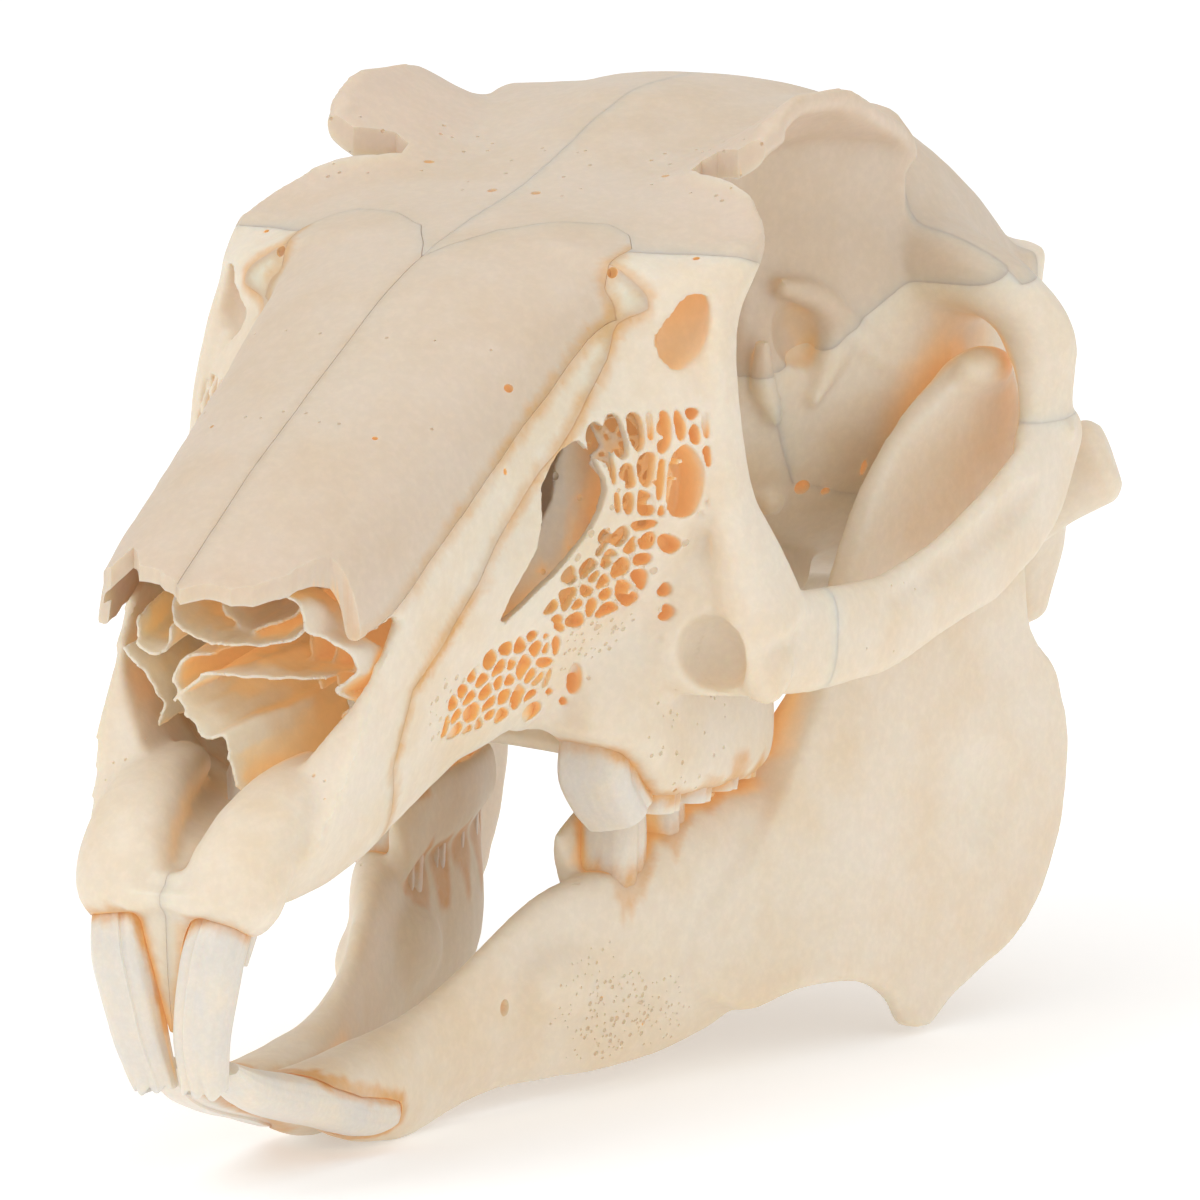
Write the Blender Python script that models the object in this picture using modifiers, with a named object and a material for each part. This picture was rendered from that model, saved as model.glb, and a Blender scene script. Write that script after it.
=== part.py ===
"""A hare skull with its jaw closed, resting on the lower jaw, at life size.

Lengths are written in millimetres and scaled to metres at the end. +X is the animal's left, +Y runs
back from the nose, +Z is up, and the floor under the lower jaw is z = 0.
"""

import math

import bpy
import numpy as np
from mathutils import Matrix, Vector

MM = 0.001
VOXEL = 0.55  # grid on which the forms of one bone are fused
SUTURE = 0.3  # gap that two bones keep along a suture
NOD = 1.5  # degrees that the whole skull is turned so that its jaw rests on the floor front and back


def keyed(keys, t):
    """The value at t of a smooth curve through (t, value) pairs, with no overshoot between them."""
    ts = np.array([key[0] for key in keys], float)
    vs = np.array([key[1] for key in keys], float)
    t = np.clip(np.asarray(t, float), ts[0], ts[-1])
    step = np.diff(ts)
    slope = np.diff(vs) / step
    tangent = np.zeros(len(ts))
    tangent[0], tangent[-1] = slope[0], slope[-1]
    for i in range(1, len(ts) - 1):
        if slope[i - 1] * slope[i] > 0:
            tangent[i] = 2 * slope[i - 1] * slope[i] / (slope[i - 1] + slope[i])
    i = np.clip(np.searchsorted(ts, t, side="right") - 1, 0, len(step) - 1)
    h = step[i]
    s = (t - ts[i]) / h
    return (
        vs[i] * (1 + 2 * s) * (1 - s) ** 2
        + vs[i + 1] * s * s * (3 - 2 * s)
        + h * tangent[i] * s * (1 - s) ** 2
        - h * tangent[i + 1] * s * s * (1 - s)
    )


def along(points, count):
    """Evenly numbered points on a smooth curve through the given ones, with any number of coordinates."""
    points = np.array(points, float)
    steps = np.linalg.norm(np.diff(points[:, :3], axis=0), axis=1)
    at = np.concatenate([[0], np.cumsum(steps)])
    where = np.linspace(0, at[-1], count)
    return np.stack([keyed(list(zip(at, points[:, k])), where) for k in range(points.shape[1])], 1)


def closed_curve(points, per):
    """A smooth closed ring through the given points, per of them to each stretch."""
    p = np.array(points, float)
    rows = []
    for i in range(len(p)):
        a, b, c, d = p[i - 1], p[i], p[(i + 1) % len(p)], p[(i + 2) % len(p)]
        for s in np.arange(per) / per:
            rows.append(
                0.5 * (2 * b + (c - a) * s + (2 * a - 5 * b + 4 * c - d) * s**2
                       + (3 * b - a - 3 * c + d) * s**3)
            )
    return np.array(rows)


def mesh_object(name, points, faces):
    mesh = bpy.data.meshes.new(name)
    mesh.from_pydata([tuple(map(float, p)) for p in points], [], faces)
    mesh.update()
    obj = bpy.data.objects.new(name, mesh)
    bpy.context.scene.collection.objects.link(obj)
    return obj


def loft(name, rings):
    """A closed skin through rings of equal length, capped at both ends."""
    rings = [np.array(ring, float) for ring in rings]
    n = len(rings[0])
    points = np.concatenate(rings)
    faces = [
        (k * n + i, k * n + (i + 1) % n, (k + 1) * n + (i + 1) % n, (k + 1) * n + i)
        for k in range(len(rings) - 1)
        for i in range(n)
    ]
    faces.append(tuple(range(n))[::-1])
    faces.append(tuple(range((len(rings) - 1) * n, len(rings) * n)))
    return mesh_object(name, points, faces)


def bar(name, stations, count=24, around=16, power=2.4, up=(0, 0, 1)):
    """A bar through stations (x, y, z, half depth, half thickness, roll in degrees).

    Depth is measured along up, thickness across it.
    """
    rows = along([tuple(s) + (0,) * (6 - len(s)) for s in stations], count)
    centres = rows[:, :3]
    tangents = np.gradient(centres, axis=0)
    rings = []
    for row, tangent in zip(rows, tangents):
        forward = Vector(tangent).normalized()
        deep = Vector(up) - Vector(up).dot(forward) * forward
        deep = Matrix.Rotation(math.radians(row[5]), 3, forward) @ deep.normalized()
        side = forward.cross(deep)
        ring = []
        for i in range(around):
            a = 2 * math.pi * i / around
            c, s = math.cos(a), math.sin(a)
            r = (abs(c) ** power + abs(s) ** power) ** (-1 / power)
            ring.append(Vector(row[:3]) + deep * (row[3] * r * c) + side * (row[4] * r * s))
        rings.append(ring)
    return loft(name, rings)


def blob(name, centre, radii, turn=(0, 0, 0), detail=4):
    """An ellipsoid, turned by the given degrees about x, y and z."""
    bpy.ops.mesh.primitive_ico_sphere_add(subdivisions=detail, radius=1)
    obj = bpy.context.active_object
    obj.name = name
    turned = Matrix.LocRotScale(Vector(centre), Matrix.Identity(3), None)
    for angle, axis in zip(turn, "XYZ"):
        turned = turned @ Matrix.Rotation(math.radians(angle), 4, axis)
    obj.data.transform(turned @ Matrix.Diagonal((*radii, 1)))
    return obj


def to_mesh(obj):
    """Replaces an object by the mesh that its modifiers or its curve give."""
    graph = bpy.context.evaluated_depsgraph_get()
    mesh = bpy.data.meshes.new_from_object(obj.evaluated_get(graph))
    name = obj.name
    matrix = obj.matrix_world.copy()
    bpy.data.objects.remove(obj)
    made = bpy.data.objects.new(name, mesh)
    made.matrix_world = matrix
    bpy.context.scene.collection.objects.link(made)
    return made


def remesh(obj, voxel):
    modifier = obj.modifiers.new("Remesh", "REMESH")
    modifier.mode = "VOXEL"
    modifier.voxel_size = voxel
    modifier.adaptivity = 0
    return to_mesh(obj)


def smooth(obj, rounds, factor=0.5):
    modifier = obj.modifiers.new("Smooth", "SMOOTH")
    modifier.factor = factor
    modifier.iterations = rounds
    return to_mesh(obj)


def slab(name, outlines, plane, thickness, voxel=VOXEL, rounds=3):
    """A flat plate from smooth closed outlines, the later ones holes.

    plane "yz" draws it as seen from the side and "xy" as seen from above. A point with a third
    value is a sharp corner.
    """
    curve = bpy.data.curves.new(name, "CURVE")
    curve.dimensions = "2D"
    curve.fill_mode = "BOTH"
    curve.extrude = thickness / 2
    curve.resolution_u = 5
    for outline in outlines:
        spline = curve.splines.new("BEZIER")
        spline.bezier_points.add(len(outline) - 1)
        spline.use_cyclic_u = True
        for point, key in zip(spline.bezier_points, outline):
            point.co = (key[0], key[1], 0)
            kind = "VECTOR" if len(key) > 2 else "AUTO"
            point.handle_left_type = point.handle_right_type = kind
    obj = bpy.data.objects.new(name, curve)
    bpy.context.scene.collection.objects.link(obj)
    obj = remesh(to_mesh(obj), voxel)
    if rounds:
        obj = smooth(obj, rounds)
    if plane == "yz":
        obj.data.transform(Matrix(((0, 0, 1, 0), (1, 0, 0, 0), (0, 1, 0, 0), (0, 0, 0, 1))))
    return obj


def warp(obj, move):
    """Moves every point by a function of the arrays x, y and z."""
    co = np.empty(len(obj.data.vertices) * 3)
    obj.data.vertices.foreach_get("co", co)
    x, y, z = co.reshape(-1, 3).T
    obj.data.vertices.foreach_set("co", np.stack(move(x, y, z), 1).ravel())
    obj.data.update()
    return obj


def join(name, objects):
    """One object that holds the meshes of several, which are removed."""
    points, faces, start = [], [], 0
    for obj in objects:
        mesh = obj.data
        points += [obj.matrix_world @ v.co for v in mesh.vertices]
        faces += [[start + i for i in p.vertices] for p in mesh.polygons]
        start += len(mesh.vertices)
        bpy.data.objects.remove(obj)
    return mesh_object(name, points, faces)


def mirrored(obj):
    """A copy on the other side of the midline, facing out."""
    made = bpy.data.objects.new(obj.name + "_right", obj.data.copy())
    bpy.context.scene.collection.objects.link(made)
    made.data.transform(Matrix.Diagonal((-1, 1, 1, 1)))
    made.data.flip_normals()
    return made


def both(objects):
    return objects + [mirrored(obj) for obj in objects]


def boolean(obj, other, operation, solver="MANIFOLD"):
    modifier = obj.modifiers.new("Boolean", "BOOLEAN")
    modifier.operation = operation
    modifier.solver = solver
    modifier.object = other
    made = to_mesh(obj)
    bpy.data.objects.remove(other)
    return made


def fuse(name, objects, voxel=VOXEL, rounds=6):
    """Melts overlapping closed forms into one skin and softens where they meet."""
    obj = remesh(join(name, objects), voxel)
    return smooth(obj, rounds) if rounds else obj


# The roof of the snout and forehead along the midline, as (y, z).
RIDGE = ((1.0, 31.6), (2.8, 32.7), (8, 36.1), (15, 40.2), (22, 44.0), (29.5, 47.6), (36, 49.6),
         (43.8, 51.3), (48.7, 52.8), (53, 54.4), (58, 55.6), (64, 55.8), (72, 54.4), (80, 50.5),
         (86, 47.2), (91, 42.0))
# Half the width of the nasals, and how far their side edge lies under the midline.
ROOF_HALF = ((1, 6.4), (3, 6.9), (7, 7.7), (10, 8.3), (14, 8.8), (22, 9.4), (30, 10.1), (37, 10.9),
             (44, 12.6))
ROOF_DROP = ((1, 1.6), (3.5, 2.8), (7, 5.6), (10, 7.0), (14, 8.0), (18, 7.6), (22, 6.9), (30, 4.8),
             (37, 2.1),
             (44, 2.6))
# The widest line of the snout's side, as (y, half width), and its height.
SIDE_HALF = ((1, 6.9), (4, 8.0), (8, 8.1), (14, 8.4), (22, 9.9), (30, 12.2), (33, 14.0), (35.6, 16.2),
             (38.5, 15.6), (42, 11.5))
SIDE_Z = ((1, 17), (4, 19.5), (8, 23), (14, 26), (22, 30), (30, 33), (36, 35), (44, 37))
# How far the side swells between the roof's edge and the widest line.
SIDE_SWELL = ((26, 0.0), (32, 0.8), (35.5, 2.0), (39, 1.8), (42, 0.6))
# The lower edge of the snout in front of the cheek teeth, as (y, z) and (y, half width).
KEEL_Z = ((1, 15.0), (3.3, 15.2), (7, 15.0), (10.7, 15.3), (14.5, 16.0), (18.9, 17.6), (27, 20.2),
          (34, 21.4),
          (44, 21.0))
KEEL_HALF = ((1, 5.2), (4, 5.8), (11, 6.1), (20, 6.4), (28, 7.5), (34, 8.8), (42, 9.2))
# The floor of the nasal cavity along the midline, as (y, z).
FLOOR_Z = ((-3, 17.2), (4.8, 18.0), (10, 19.4), (20, 21.6), (32, 24.2), (39, 27.0))
WALL = 1.15  # thickness of the snout's walls
GRIT = 4560  # triangles of the cranium before it is parted
JAW_GRIT = 820  # triangles of one side of the lower jaw before its teeth


def snout_ring(y):
    """Cross-section of the snout at y."""
    top, half, drop = keyed(RIDGE, y), keyed(ROOF_HALF, y), keyed(ROOF_DROP, y)
    side, side_z = keyed(SIDE_HALF, y), keyed(SIDE_Z, y)
    keel, keel_half = keyed(KEEL_Z, y), keyed(KEEL_HALF, y)
    right = [(0, top), (half * 0.5, top - 0.10 * drop), (half * 0.86, top - 0.42 * drop),
             (half, top - drop),
             ((half + side) / 2 + keyed(SIDE_SWELL, y), (top - drop + side_z) / 2), (side, side_z),
             (keel_half * 1.02, keel + 2.6), (keel_half * 0.62, keel), (0, keel + 0.3)]
    return ring_at(y, right)


def ring_at(y, right, per=3):
    """A smooth cross-section at y, mirrored from its (x, z) points on the left side, top to bottom."""
    ring = list(right) + [(-x, z) for x, z in right[-2:0:-1]]
    return [(x, y, z) for x, z in closed_curve(ring, per)]


def snout():
    return loft("snout", [snout_ring(y) for y in np.linspace(1.4, 41.6, 30)])


def cavity():
    """The inside of the nose, open in front."""
    rings = []
    for y in (-3, 1, 4, 8, 12, 16, 22, 30, 36, 39):
        narrow = keyed(((4, 0.0), (8, 0.25), (14, 0.7), (20, 1.0)), y)
        top, half, drop = keyed(RIDGE, y) - WALL, keyed(ROOF_HALF, y) - WALL, keyed(ROOF_DROP, y)
        side, side_z, floor = keyed(SIDE_HALF, y) - WALL - 0.2, keyed(SIDE_Z, y), keyed(FLOOR_Z, y)
        rise = side_z - floor
        end = keyed(((-3, 1.0), (31, 1.0), (36, 0.8), (39, 0.3)), y)
        middle = (top + floor) / 2
        right = [(0, top), (half * 0.5, top - 0.10 * drop), (half * 0.9, top - 0.5 * drop),
                 (half, top - drop),
                 ((half + side) / 2, (top - drop + side_z) / 2), (side * (0.6 + 0.4 * narrow), side_z),
                 (side * (0.36 + 0.44 * narrow), floor + 0.5 * rise),
                 (side * (0.14 + 0.31 * narrow), floor + 0.12 * rise), (0, floor)]
        rings.append(ring_at(y, [(x * end, middle + (z - middle) * end) for x, z in right], 2))
    return loft("cavity", rings)


def roof_z(x, y):
    """Height of the forehead between and over the orbits."""
    a = np.abs(x)
    ridge = keyed(RIDGE, y)
    dip = keyed(((34, 0.0), (44, 0.3), (50, 1.0), (56, 1.9), (61, 2.4), (66, 2.0), (74, 1.6)), y)
    lift = keyed(((34, -2.4), (38, -2.2), (40.5, -1.2), (42.5, -0.7), (44.8, 0.3), (46.2, 2.7), (49.3, 3.6),
                  (53, 2.5), (56, 1.5), (60.8, -0.6), (65.4, -2.5), (68, -4.2), (74, -6)), y)
    inner = np.clip(a / 8.0, 0, 1)
    outer = np.clip((a - 6.0) / 8.5, 0, 1.3)
    return ridge - dip * inner**2 * (3 - 2 * inner) + (lift + dip) * outer**1.5


def forehead():
    """The frontal bones' plate with the wings over both orbits."""
    half = [(0, 34), (7, 34), (12.0, 34.6), (15.7, 36.9), (16.9, 39.9), (16.1, 42.8), (14.3, 45.0),
            (14.5, 48),
            (14.5, 52), (14.5, 56), (14.6, 60), (14.4, 64.5), (13.6, 67.2), (12.2, 66.8), (9.5, 66),
            (0, 70)]
    plate = slab("forehead", [half + [(-x, y) for x, y in half[-2:0:-1]]], "xy", 3.0)
    return warp(plate, lambda x, y, z: (x, y, roof_z(x, y) - 0.8 + z * 0.5))


def between_orbits():
    """The deep wall between the orbits, which widens behind into the braincase."""
    rings = []
    for y in np.linspace(38, 66, 15):
        top = float(roof_z(np.array(0.0), y)) - 0.8
        half_top = keyed(((38, 10.5), (44, 9.4), (50, 8.4), (56, 9.0), (60, 11.0), (66, 14.0)), y)
        half_mid = keyed(((38, 9.5), (44, 7.0), (50, 5.4), (55, 6.2), (60, 9.0), (66, 13.5)), y)
        half_low = keyed(((38, 8.5), (44, 4.4), (50, 2.6), (56, 3.0), (62, 6.0), (66, 8.0)), y)
        low = keyed(((38, 24), (44, 26), (50, 27.0), (56, 26.5), (66, 26)), y)
        span = top - low
        rings.append(ring_at(y, [(0, top), (half_top * 0.7, top - 0.2), (half_top, top - 1.6),
                                 (half_mid, top - 0.36 * span), (half_mid * 0.9, top - 0.6 * span),
                                 (half_low, low + 0.12 * span), (half_low * 0.6, low), (0, low)]))
    return loft("between_orbits", rings)


BRAIN_HALF = ((56, 8.0), (60, 11.0), (66, 14.4), (72, 15.9), (78, 15.8), (84, 14.4), (88, 12.4),
              (90.6, 8.5))
BRAIN_LOW = ((56, 31), (60, 29), (66, 27), (72, 25.6), (80, 25), (86, 25.5), (92, 28))


def braincase():
    rings = []
    for y in np.linspace(56, 90.6, 20):
        top, low, half = keyed(RIDGE, y), keyed(BRAIN_LOW, y), keyed(BRAIN_HALF, y)
        span = top - low
        rings.append(ring_at(y, [(0, top), (half * 0.55, top - 0.04 * span),
                                 (half * 0.86, top - 0.2 * span),
                                 (half, top - 0.44 * span), (half * 0.92, top - 0.74 * span),
                                 (half * 0.6, low + 0.04 * span), (0, low)], 4))
    return loft("braincase", rings)


def orbit_rim():
    """The rim in front of the orbit, from the corner of the brow down to the cheek."""
    return bar("orbit_rim", [(15.5, 40.8, 48.7, 1.3, 1.0), (15.5, 38.4, 45.6, 1.3, 1.0),
                             (15.9, 37.0, 42.4, 1.3, 1.0),
                             (16.5, 36.7, 39, 1.4, 1.0), (16.8, 37.0, 35.3, 1.7, 1.2),
                             (17.4, 38.0, 31, 2.6, 1.8),
                             (17.9, 39.2, 27.4, 3.1, 2.3)], up=(0, 1, 0.2))


def cheek_root():
    """The root of the cheek arch, a thick web from the side of the snout."""
    return [bar("cheek_root", [(8, 37.5, 29.5, 6.5, 3.0), (12, 37.4, 29, 5.5, 2.4),
                               (15.6, 38, 27.6, 4.4, 1.8),
                               (18.2, 39.2, 26.4, 3.0, 1.6)]),
            bar("cheek_spine", [(17.5, 39.6, 27.0, 1.9, 1.6), (18.6, 38.4, 25.0, 1.3, 1.3),
                                (18.6, 37.4, 23.6, 0.8, 0.8)])]


def cheek_arch():
    """The deep, thin cheek arch."""
    return bar("cheek_arch", [(17.4, 38.8, 26.6, 3.0, 1.5), (18.9, 43, 26.3, 3.0, 1.2),
                              (19.7, 49, 26.4, 2.9, 1.0),
                              (20.6, 56, 28.0, 2.9, 0.9), (21.3, 62, 30.0, 3.3, 0.9),
                              (21.6, 67, 32.6, 3.4, 0.9),
                              (21.5, 70.4, 35.0, 2.6, 0.9), (21.3, 72.6, 35.4, 1.0, 0.7)], count=30)


def temple_root():
    """The bar that joins the cheek arch to the side of the braincase."""
    return bar("temple_root", [(12.0, 70, 45, 3.6, 5.0), (16.0, 68.8, 44.6, 2.4, 4.2),
                               (19.8, 68.2, 43.0, 1.9, 3.0),
                               (21.3, 68.6, 39.6, 2.2, 1.5), (21.4, 68.6, 36.4, 2.4, 1.0),
                               (21.2, 66.4, 34.2, 1.6, 0.9)],
               up=(0, 0.3, 1), count=30)


def tooth_block():
    """The bone that holds the upper cheek teeth."""
    rings = []
    for y in np.linspace(32.5, 55.5, 12):
        low = keyed(((32.5, 21.6), (35.2, 20.4), (38.6, 17.7), (46, 17.5), (51, 17.9), (55.5, 20.6)), y)
        top = keyed(((32.5, 25), (38, 32), (46, 30), (52, 27.5), (55.5, 24)), y)
        mid = keyed(((32.5, 8.6), (38, 9.6), (48, 9.9), (55.5, 8.8)), y)
        half = keyed(((32.5, 1.6), (36, 3.0), (44, 3.3), (50, 2.9), (55.5, 1.4)), y)
        rings.append([(mid + half * x, y, (top + low) / 2 + (top - low) / 2 * z)
                      for x, z in closed_curve([(1, 0), (0.75, 0.8), (0, 1), (-0.8, 0.8), (-1, 0),
                                                (-0.95, -0.85),
                                                (0, -1), (1.02, -0.95)], 3)])
    return loft("tooth_block", rings)


def skull_base():
    return [
        bar("base_bar", [(0, 44, 28, 2.6, 4.6), (0, 52, 27.4, 2.2, 3.4), (0, 60, 26.4, 1.8, 3.2),
                         (0, 70, 25.6, 2.2, 3.6), (0, 82, 25.4, 1.8, 6.0), (0, 89, 27.5, 1.4, 5.0)]),
        bar("palate_bridge", [(-8, 42.0, 19.6, 0.9, 3.4), (0, 41.6, 20.2, 0.8, 3.2),
                              (8, 42.0, 19.6, 0.9, 3.4)]),
    ]


def wing_plates():
    """The plates that hang under the skull base behind the palate."""
    return [bar("wing_plate", [(7.0, 51, 23.4, 3.6, 0.9), (5.8, 56, 22.8, 3.8, 0.8),
                               (5.2, 62, 22.4, 3.6, 0.8),
                               (5.6, 67, 23.6, 2.6, 0.8)]),
            bar("wing_root", [(7.4, 52, 25.6, 1.8, 3.0), (4.0, 58, 26.6, 1.8, 3.4),
                              (5.0, 66, 27, 2.0, 3.0)])]


def back_parts():
    return [
        bar("mastoid", [(12.0, 82.4, 44.6, 3.2, 2.4), (11.6, 82.8, 38.4, 3.0, 2.1),
                        (11.9, 87.2, 28, 3.1, 1.6),
                        (11.0, 88.1, 21.4, 1.8, 1.0)], up=(0, 1, 0)),
        blob("condyle", (4.6, 90.6, 28.6), (2.2, 3.0, 3.4), turn=(20, 0, 0)),
    ]


def shield():
    """The raised shield on the back of the head."""
    return bar("shield", [(0, 85.4, 49.6, 1.6, 3.6), (0, 88.0, 47.8, 1.9, 5.0), (0, 90.0, 44.6, 1.9, 5.8),
                          (0, 90.8, 40.4, 1.7, 4.4), (0, 90.6, 36.0, 1.2, 1.8)], power=2.0, up=(0, 1, 0))


def cranium_form():
    sides = [orbit_rim(), *cheek_root(), tooth_block(), *wing_plates(), *back_parts(), cheek_arch(),
             temple_root()]
    middle = [snout(), forehead(), between_orbits(), braincase(), *skull_base(), shield()]
    return fuse("cranium", middle + both(sides))


def bulla():
    """The ear capsule with its tube."""
    return fuse("bulla", [
        blob("bulla", (9.4, 77.6, 24.6), (4.6, 6.6, 5.2), turn=(0, 0, 14)),
        bar("ear_tube", [(10, 78.4, 26.6, 3.6, 3.6), (13.6, 79.8, 29.2, 3.0, 3.0),
                         (16.4, 81.2, 31.0, 2.6, 2.6),
                         (18.6, 82.1, 32.2, 2.6, 2.5), (19.3, 82.4, 32.5, 1.9, 1.8)]),
    ], rounds=4)


# The lower jaw's body at y: top and bottom edge, outer and inner face.
JAW_TOP = ((8, 5.0), (12, 4.9), (17, 5.1), (21, 5.5), (24, 6.0), (28.6, 7.8), (30.5, 8.8), (33, 10.5),
           (35.8, 12.0),
           (38, 12.6), (41.5, 13.0), (43.5, 14.4), (46, 15.6), (50, 16.4), (57, 17.2))
JAW_LOW = ((8, 4.4), (11, 3.1), (14, 2.0), (16.9, 0.9), (19.9, -0.3), (22.2, -0.7), (24.4, -0.9),
           (26.7, -0.5),
           (28.9, 0.0), (33, 0.7), (39.7, 0.9), (44.2, 1.2), (48.4, 2.0), (51.8, 3.4), (57, 4.2))
JAW_OUT = ((8, 3.0), (12, 3.8), (16, 4.2), (20, 4.3), (24, 4.1), (28, 4.3), (32, 5.0), (36, 6.9), (40, 8.9),
           (44, 10.2),
           (48, 11.4), (52, 12.9), (57, 14.8))
JAW_IN = ((8, -0.6), (20, -0.6), (22, 0.0), (25, 1.0), (28, 1.9), (32, 3.0), (36, 3.9), (40, 4.9),
          (44, 5.6),
          (48, 6.4), (52, 8.2), (57, 11.6))
# The broad plate of the lower jaw as seen from the side.
JAW_PLATE = ((45, 7), (50.2, 14), (54.0, 20), (56.0, 25), (57.2, 30), (59.2, 34.2), (62, 36.9), (65, 38.8),
             (66.5, 39.8),
             (69.8, 39.5), (71.4, 37.4), (72.3, 34), (72.9, 29), (73.2, 25), (73.8, 22.8), (76.0, 20.9),
             (77.1, 18.2),
             (77.2, 14.0), (76.2, 10.2), (74.3, 7.2), (71.8, 4.8), (68.6, 3.2), (66, 1.9), (63.8, 0.6),
             (62.4, 0.9),
             (61.2, 2.4), (58.2, 4.0), (54, 4.4), (48, 3.8))


def jaw_form():
    """One side of the lower jaw."""
    rings = []
    for y in np.linspace(7.6, 57, 26):
        top, low = keyed(JAW_TOP, y), keyed(JAW_LOW, y)
        out, inn = keyed(JAW_OUT, y), keyed(JAW_IN, y)
        lean = keyed(((8, 0.0), (28, 0.2), (40, 1.0), (57, 0.8)), y)
        power = keyed(((8, 2.0), (26, 2.1), (40, 2.8)), y)
        ring = []
        for i in range(24):
            a = 2 * math.pi * i / 24
            c, s = math.cos(a), math.sin(a)
            r = (abs(c) ** power + abs(s) ** power) ** (-1 / power)
            ring.append(((out + inn) / 2 + (out - inn) / 2 * r * c + lean * s * 0.6, y,
                         (top + low) / 2 + (top - low) / 2 * r * s))
        rings.append(ring)
    plate = slab("jaw_plate", [JAW_PLATE], "yz", 8.0, rounds=4)

    def place(x, y, z):
        middle = keyed(((45, 8.8), (52, 12.2), (57, 14.4), (62, 15.6), (68, 17.0), (74, 17.9), (80, 18.3)),
                       y)
        middle = middle + keyed(((0, -0.5), (8, 0.4), (16, 0.5), (24, 0.1), (30, 0.2), (38, 0.3)),
                                z) * keyed(
            ((50, 0), (60, 0.4), (70, 1), (84, 1)), y)
        thick = keyed(((45, 4.0), (52, 2.6), (57, 2.0), (62, 1.7), (84, 1.3)), y)
        edge = keyed(((0, 1.7), (3, 1.0), (34, 1.0), (39, 1.7)), z)
        return middle + x / 8.0 * thick * edge, y, z

    return fuse("jaw", [
        loft("jaw_body", rings), warp(plate, place), blob("jaw_head", (17.8, 67.6, 39.2), (1.5, 2.9, 1.3)),
        bar("rear_ridge", [(9.6, 52.5, 13.0, 2.0, 1.5), (11.0, 54.4, 17.5, 2.1, 1.2),
                           (12.4, 56.6, 21.5, 1.9, 1.0),
                           (13.6, 58.4, 26, 1.4, 0.9)], up=(0, 1, 0)),
        bar("tongue_wall", [(5.3, 38.5, 13.0, 2.0, 0.6), (5.5, 42, 14.4, 2.2, 0.6), (6.0, 48, 15, 2.0, 0.6),
                            (7.4, 54, 15.6, 1.8, 0.6)]),
        blob("root_bulge", (6.2, 38.5, 7.2), (2.2, 6.0, 3.2))], rounds=4)


def decimated(obj, triangles):
    obj.data.calc_loop_triangles()
    now = len(obj.data.loop_triangles)
    modifier = obj.modifiers.new("Decimate", "DECIMATE")
    modifier.ratio = min(1.0, triangles / now)
    return to_mesh(obj)


def outline_grown(outline, margin):
    """A polygon moved outwards by a margin."""
    p = np.array([key[:2] for key in outline], float)
    area = np.sum(p[:, 0] * np.roll(p[:, 1], -1) - np.roll(p[:, 0], -1) * p[:, 1])
    edge = np.roll(p, -1, 0) - p
    normal = np.stack([edge[:, 1], -edge[:, 0]], 1) / np.linalg.norm(edge, axis=1)[:, None] * np.sign(area)
    before = np.roll(normal, 1, 0)
    mitre = before + normal
    mitre /= np.maximum(np.sum(mitre * normal, 1), 0.35)[:, None]
    return p + mitre * margin


def block(name, outline, plane, low, high, margin=0.0):
    """A prism over a polygon, from low to high along the axis that the plane leaves out."""
    p = outline_grown(outline, margin)
    if plane == "yz":
        rings = [[(x, a, b) for a, b in p] for x in (low - margin, high + margin)]
    else:
        rings = [[(a, b, z) for a, b in p] for z in (low - margin, high + margin)]
    return outward(loft(name, rings))


def outward(obj):
    """Turns a closed mesh right side out."""
    mesh = obj.data
    mesh.calc_loop_triangles()
    v = np.array([mesh.vertices[i].co[:] for t in mesh.loop_triangles for i in t.vertices]).reshape(-1, 3,
                                                                                                    3)
    if np.einsum("ij,ij->i", v[:, 0], np.cross(v[:, 1], v[:, 2])).sum() < 0:
        mesh.flip_normals()
    return obj


def copy_of(obj, name):
    made = bpy.data.objects.new(name, obj.data.copy())
    bpy.context.scene.collection.objects.link(made)
    return made


def largest(obj):
    """Keeps the largest of the closed bodies in a mesh."""
    mesh = obj.data
    parent = list(range(len(mesh.vertices)))

    def root(i):
        while parent[i] != i:
            parent[i] = parent[parent[i]]
            i = parent[i]
        return i

    for edge in mesh.edges:
        a, b = root(edge.vertices[0]), root(edge.vertices[1])
        parent[a] = b
    roots = np.array([root(i) for i in range(len(mesh.vertices))])
    sizes = {}
    for r in set(roots.tolist()):
        points = np.array([mesh.vertices[i].co[:] for i in np.flatnonzero(roots == r)])
        sizes[r] = np.prod(np.ptp(points, axis=0))
    keep = max(sizes, key=sizes.get)
    faces = [list(p.vertices) for p in mesh.polygons if roots[p.vertices[0]] == keep]
    used = sorted({i for face in faces for i in face})
    number = {old: new for new, old in enumerate(used)}
    name = obj.name
    points = [mesh.vertices[i].co.copy() for i in used]
    bpy.data.objects.remove(obj)
    return mesh_object(name, points, [[number[i] for i in face] for face in faces])


def part_off(body, name, outline, plane, low, high):
    """Cuts the piece inside a prism from a body and leaves a suture's gap around it."""
    piece = boolean(copy_of(body, name), block("inside", outline, plane, low, high), "INTERSECT")
    rest = boolean(body, block("around", outline, plane, low, high, SUTURE), "DIFFERENCE")
    return largest(piece), rest


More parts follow.
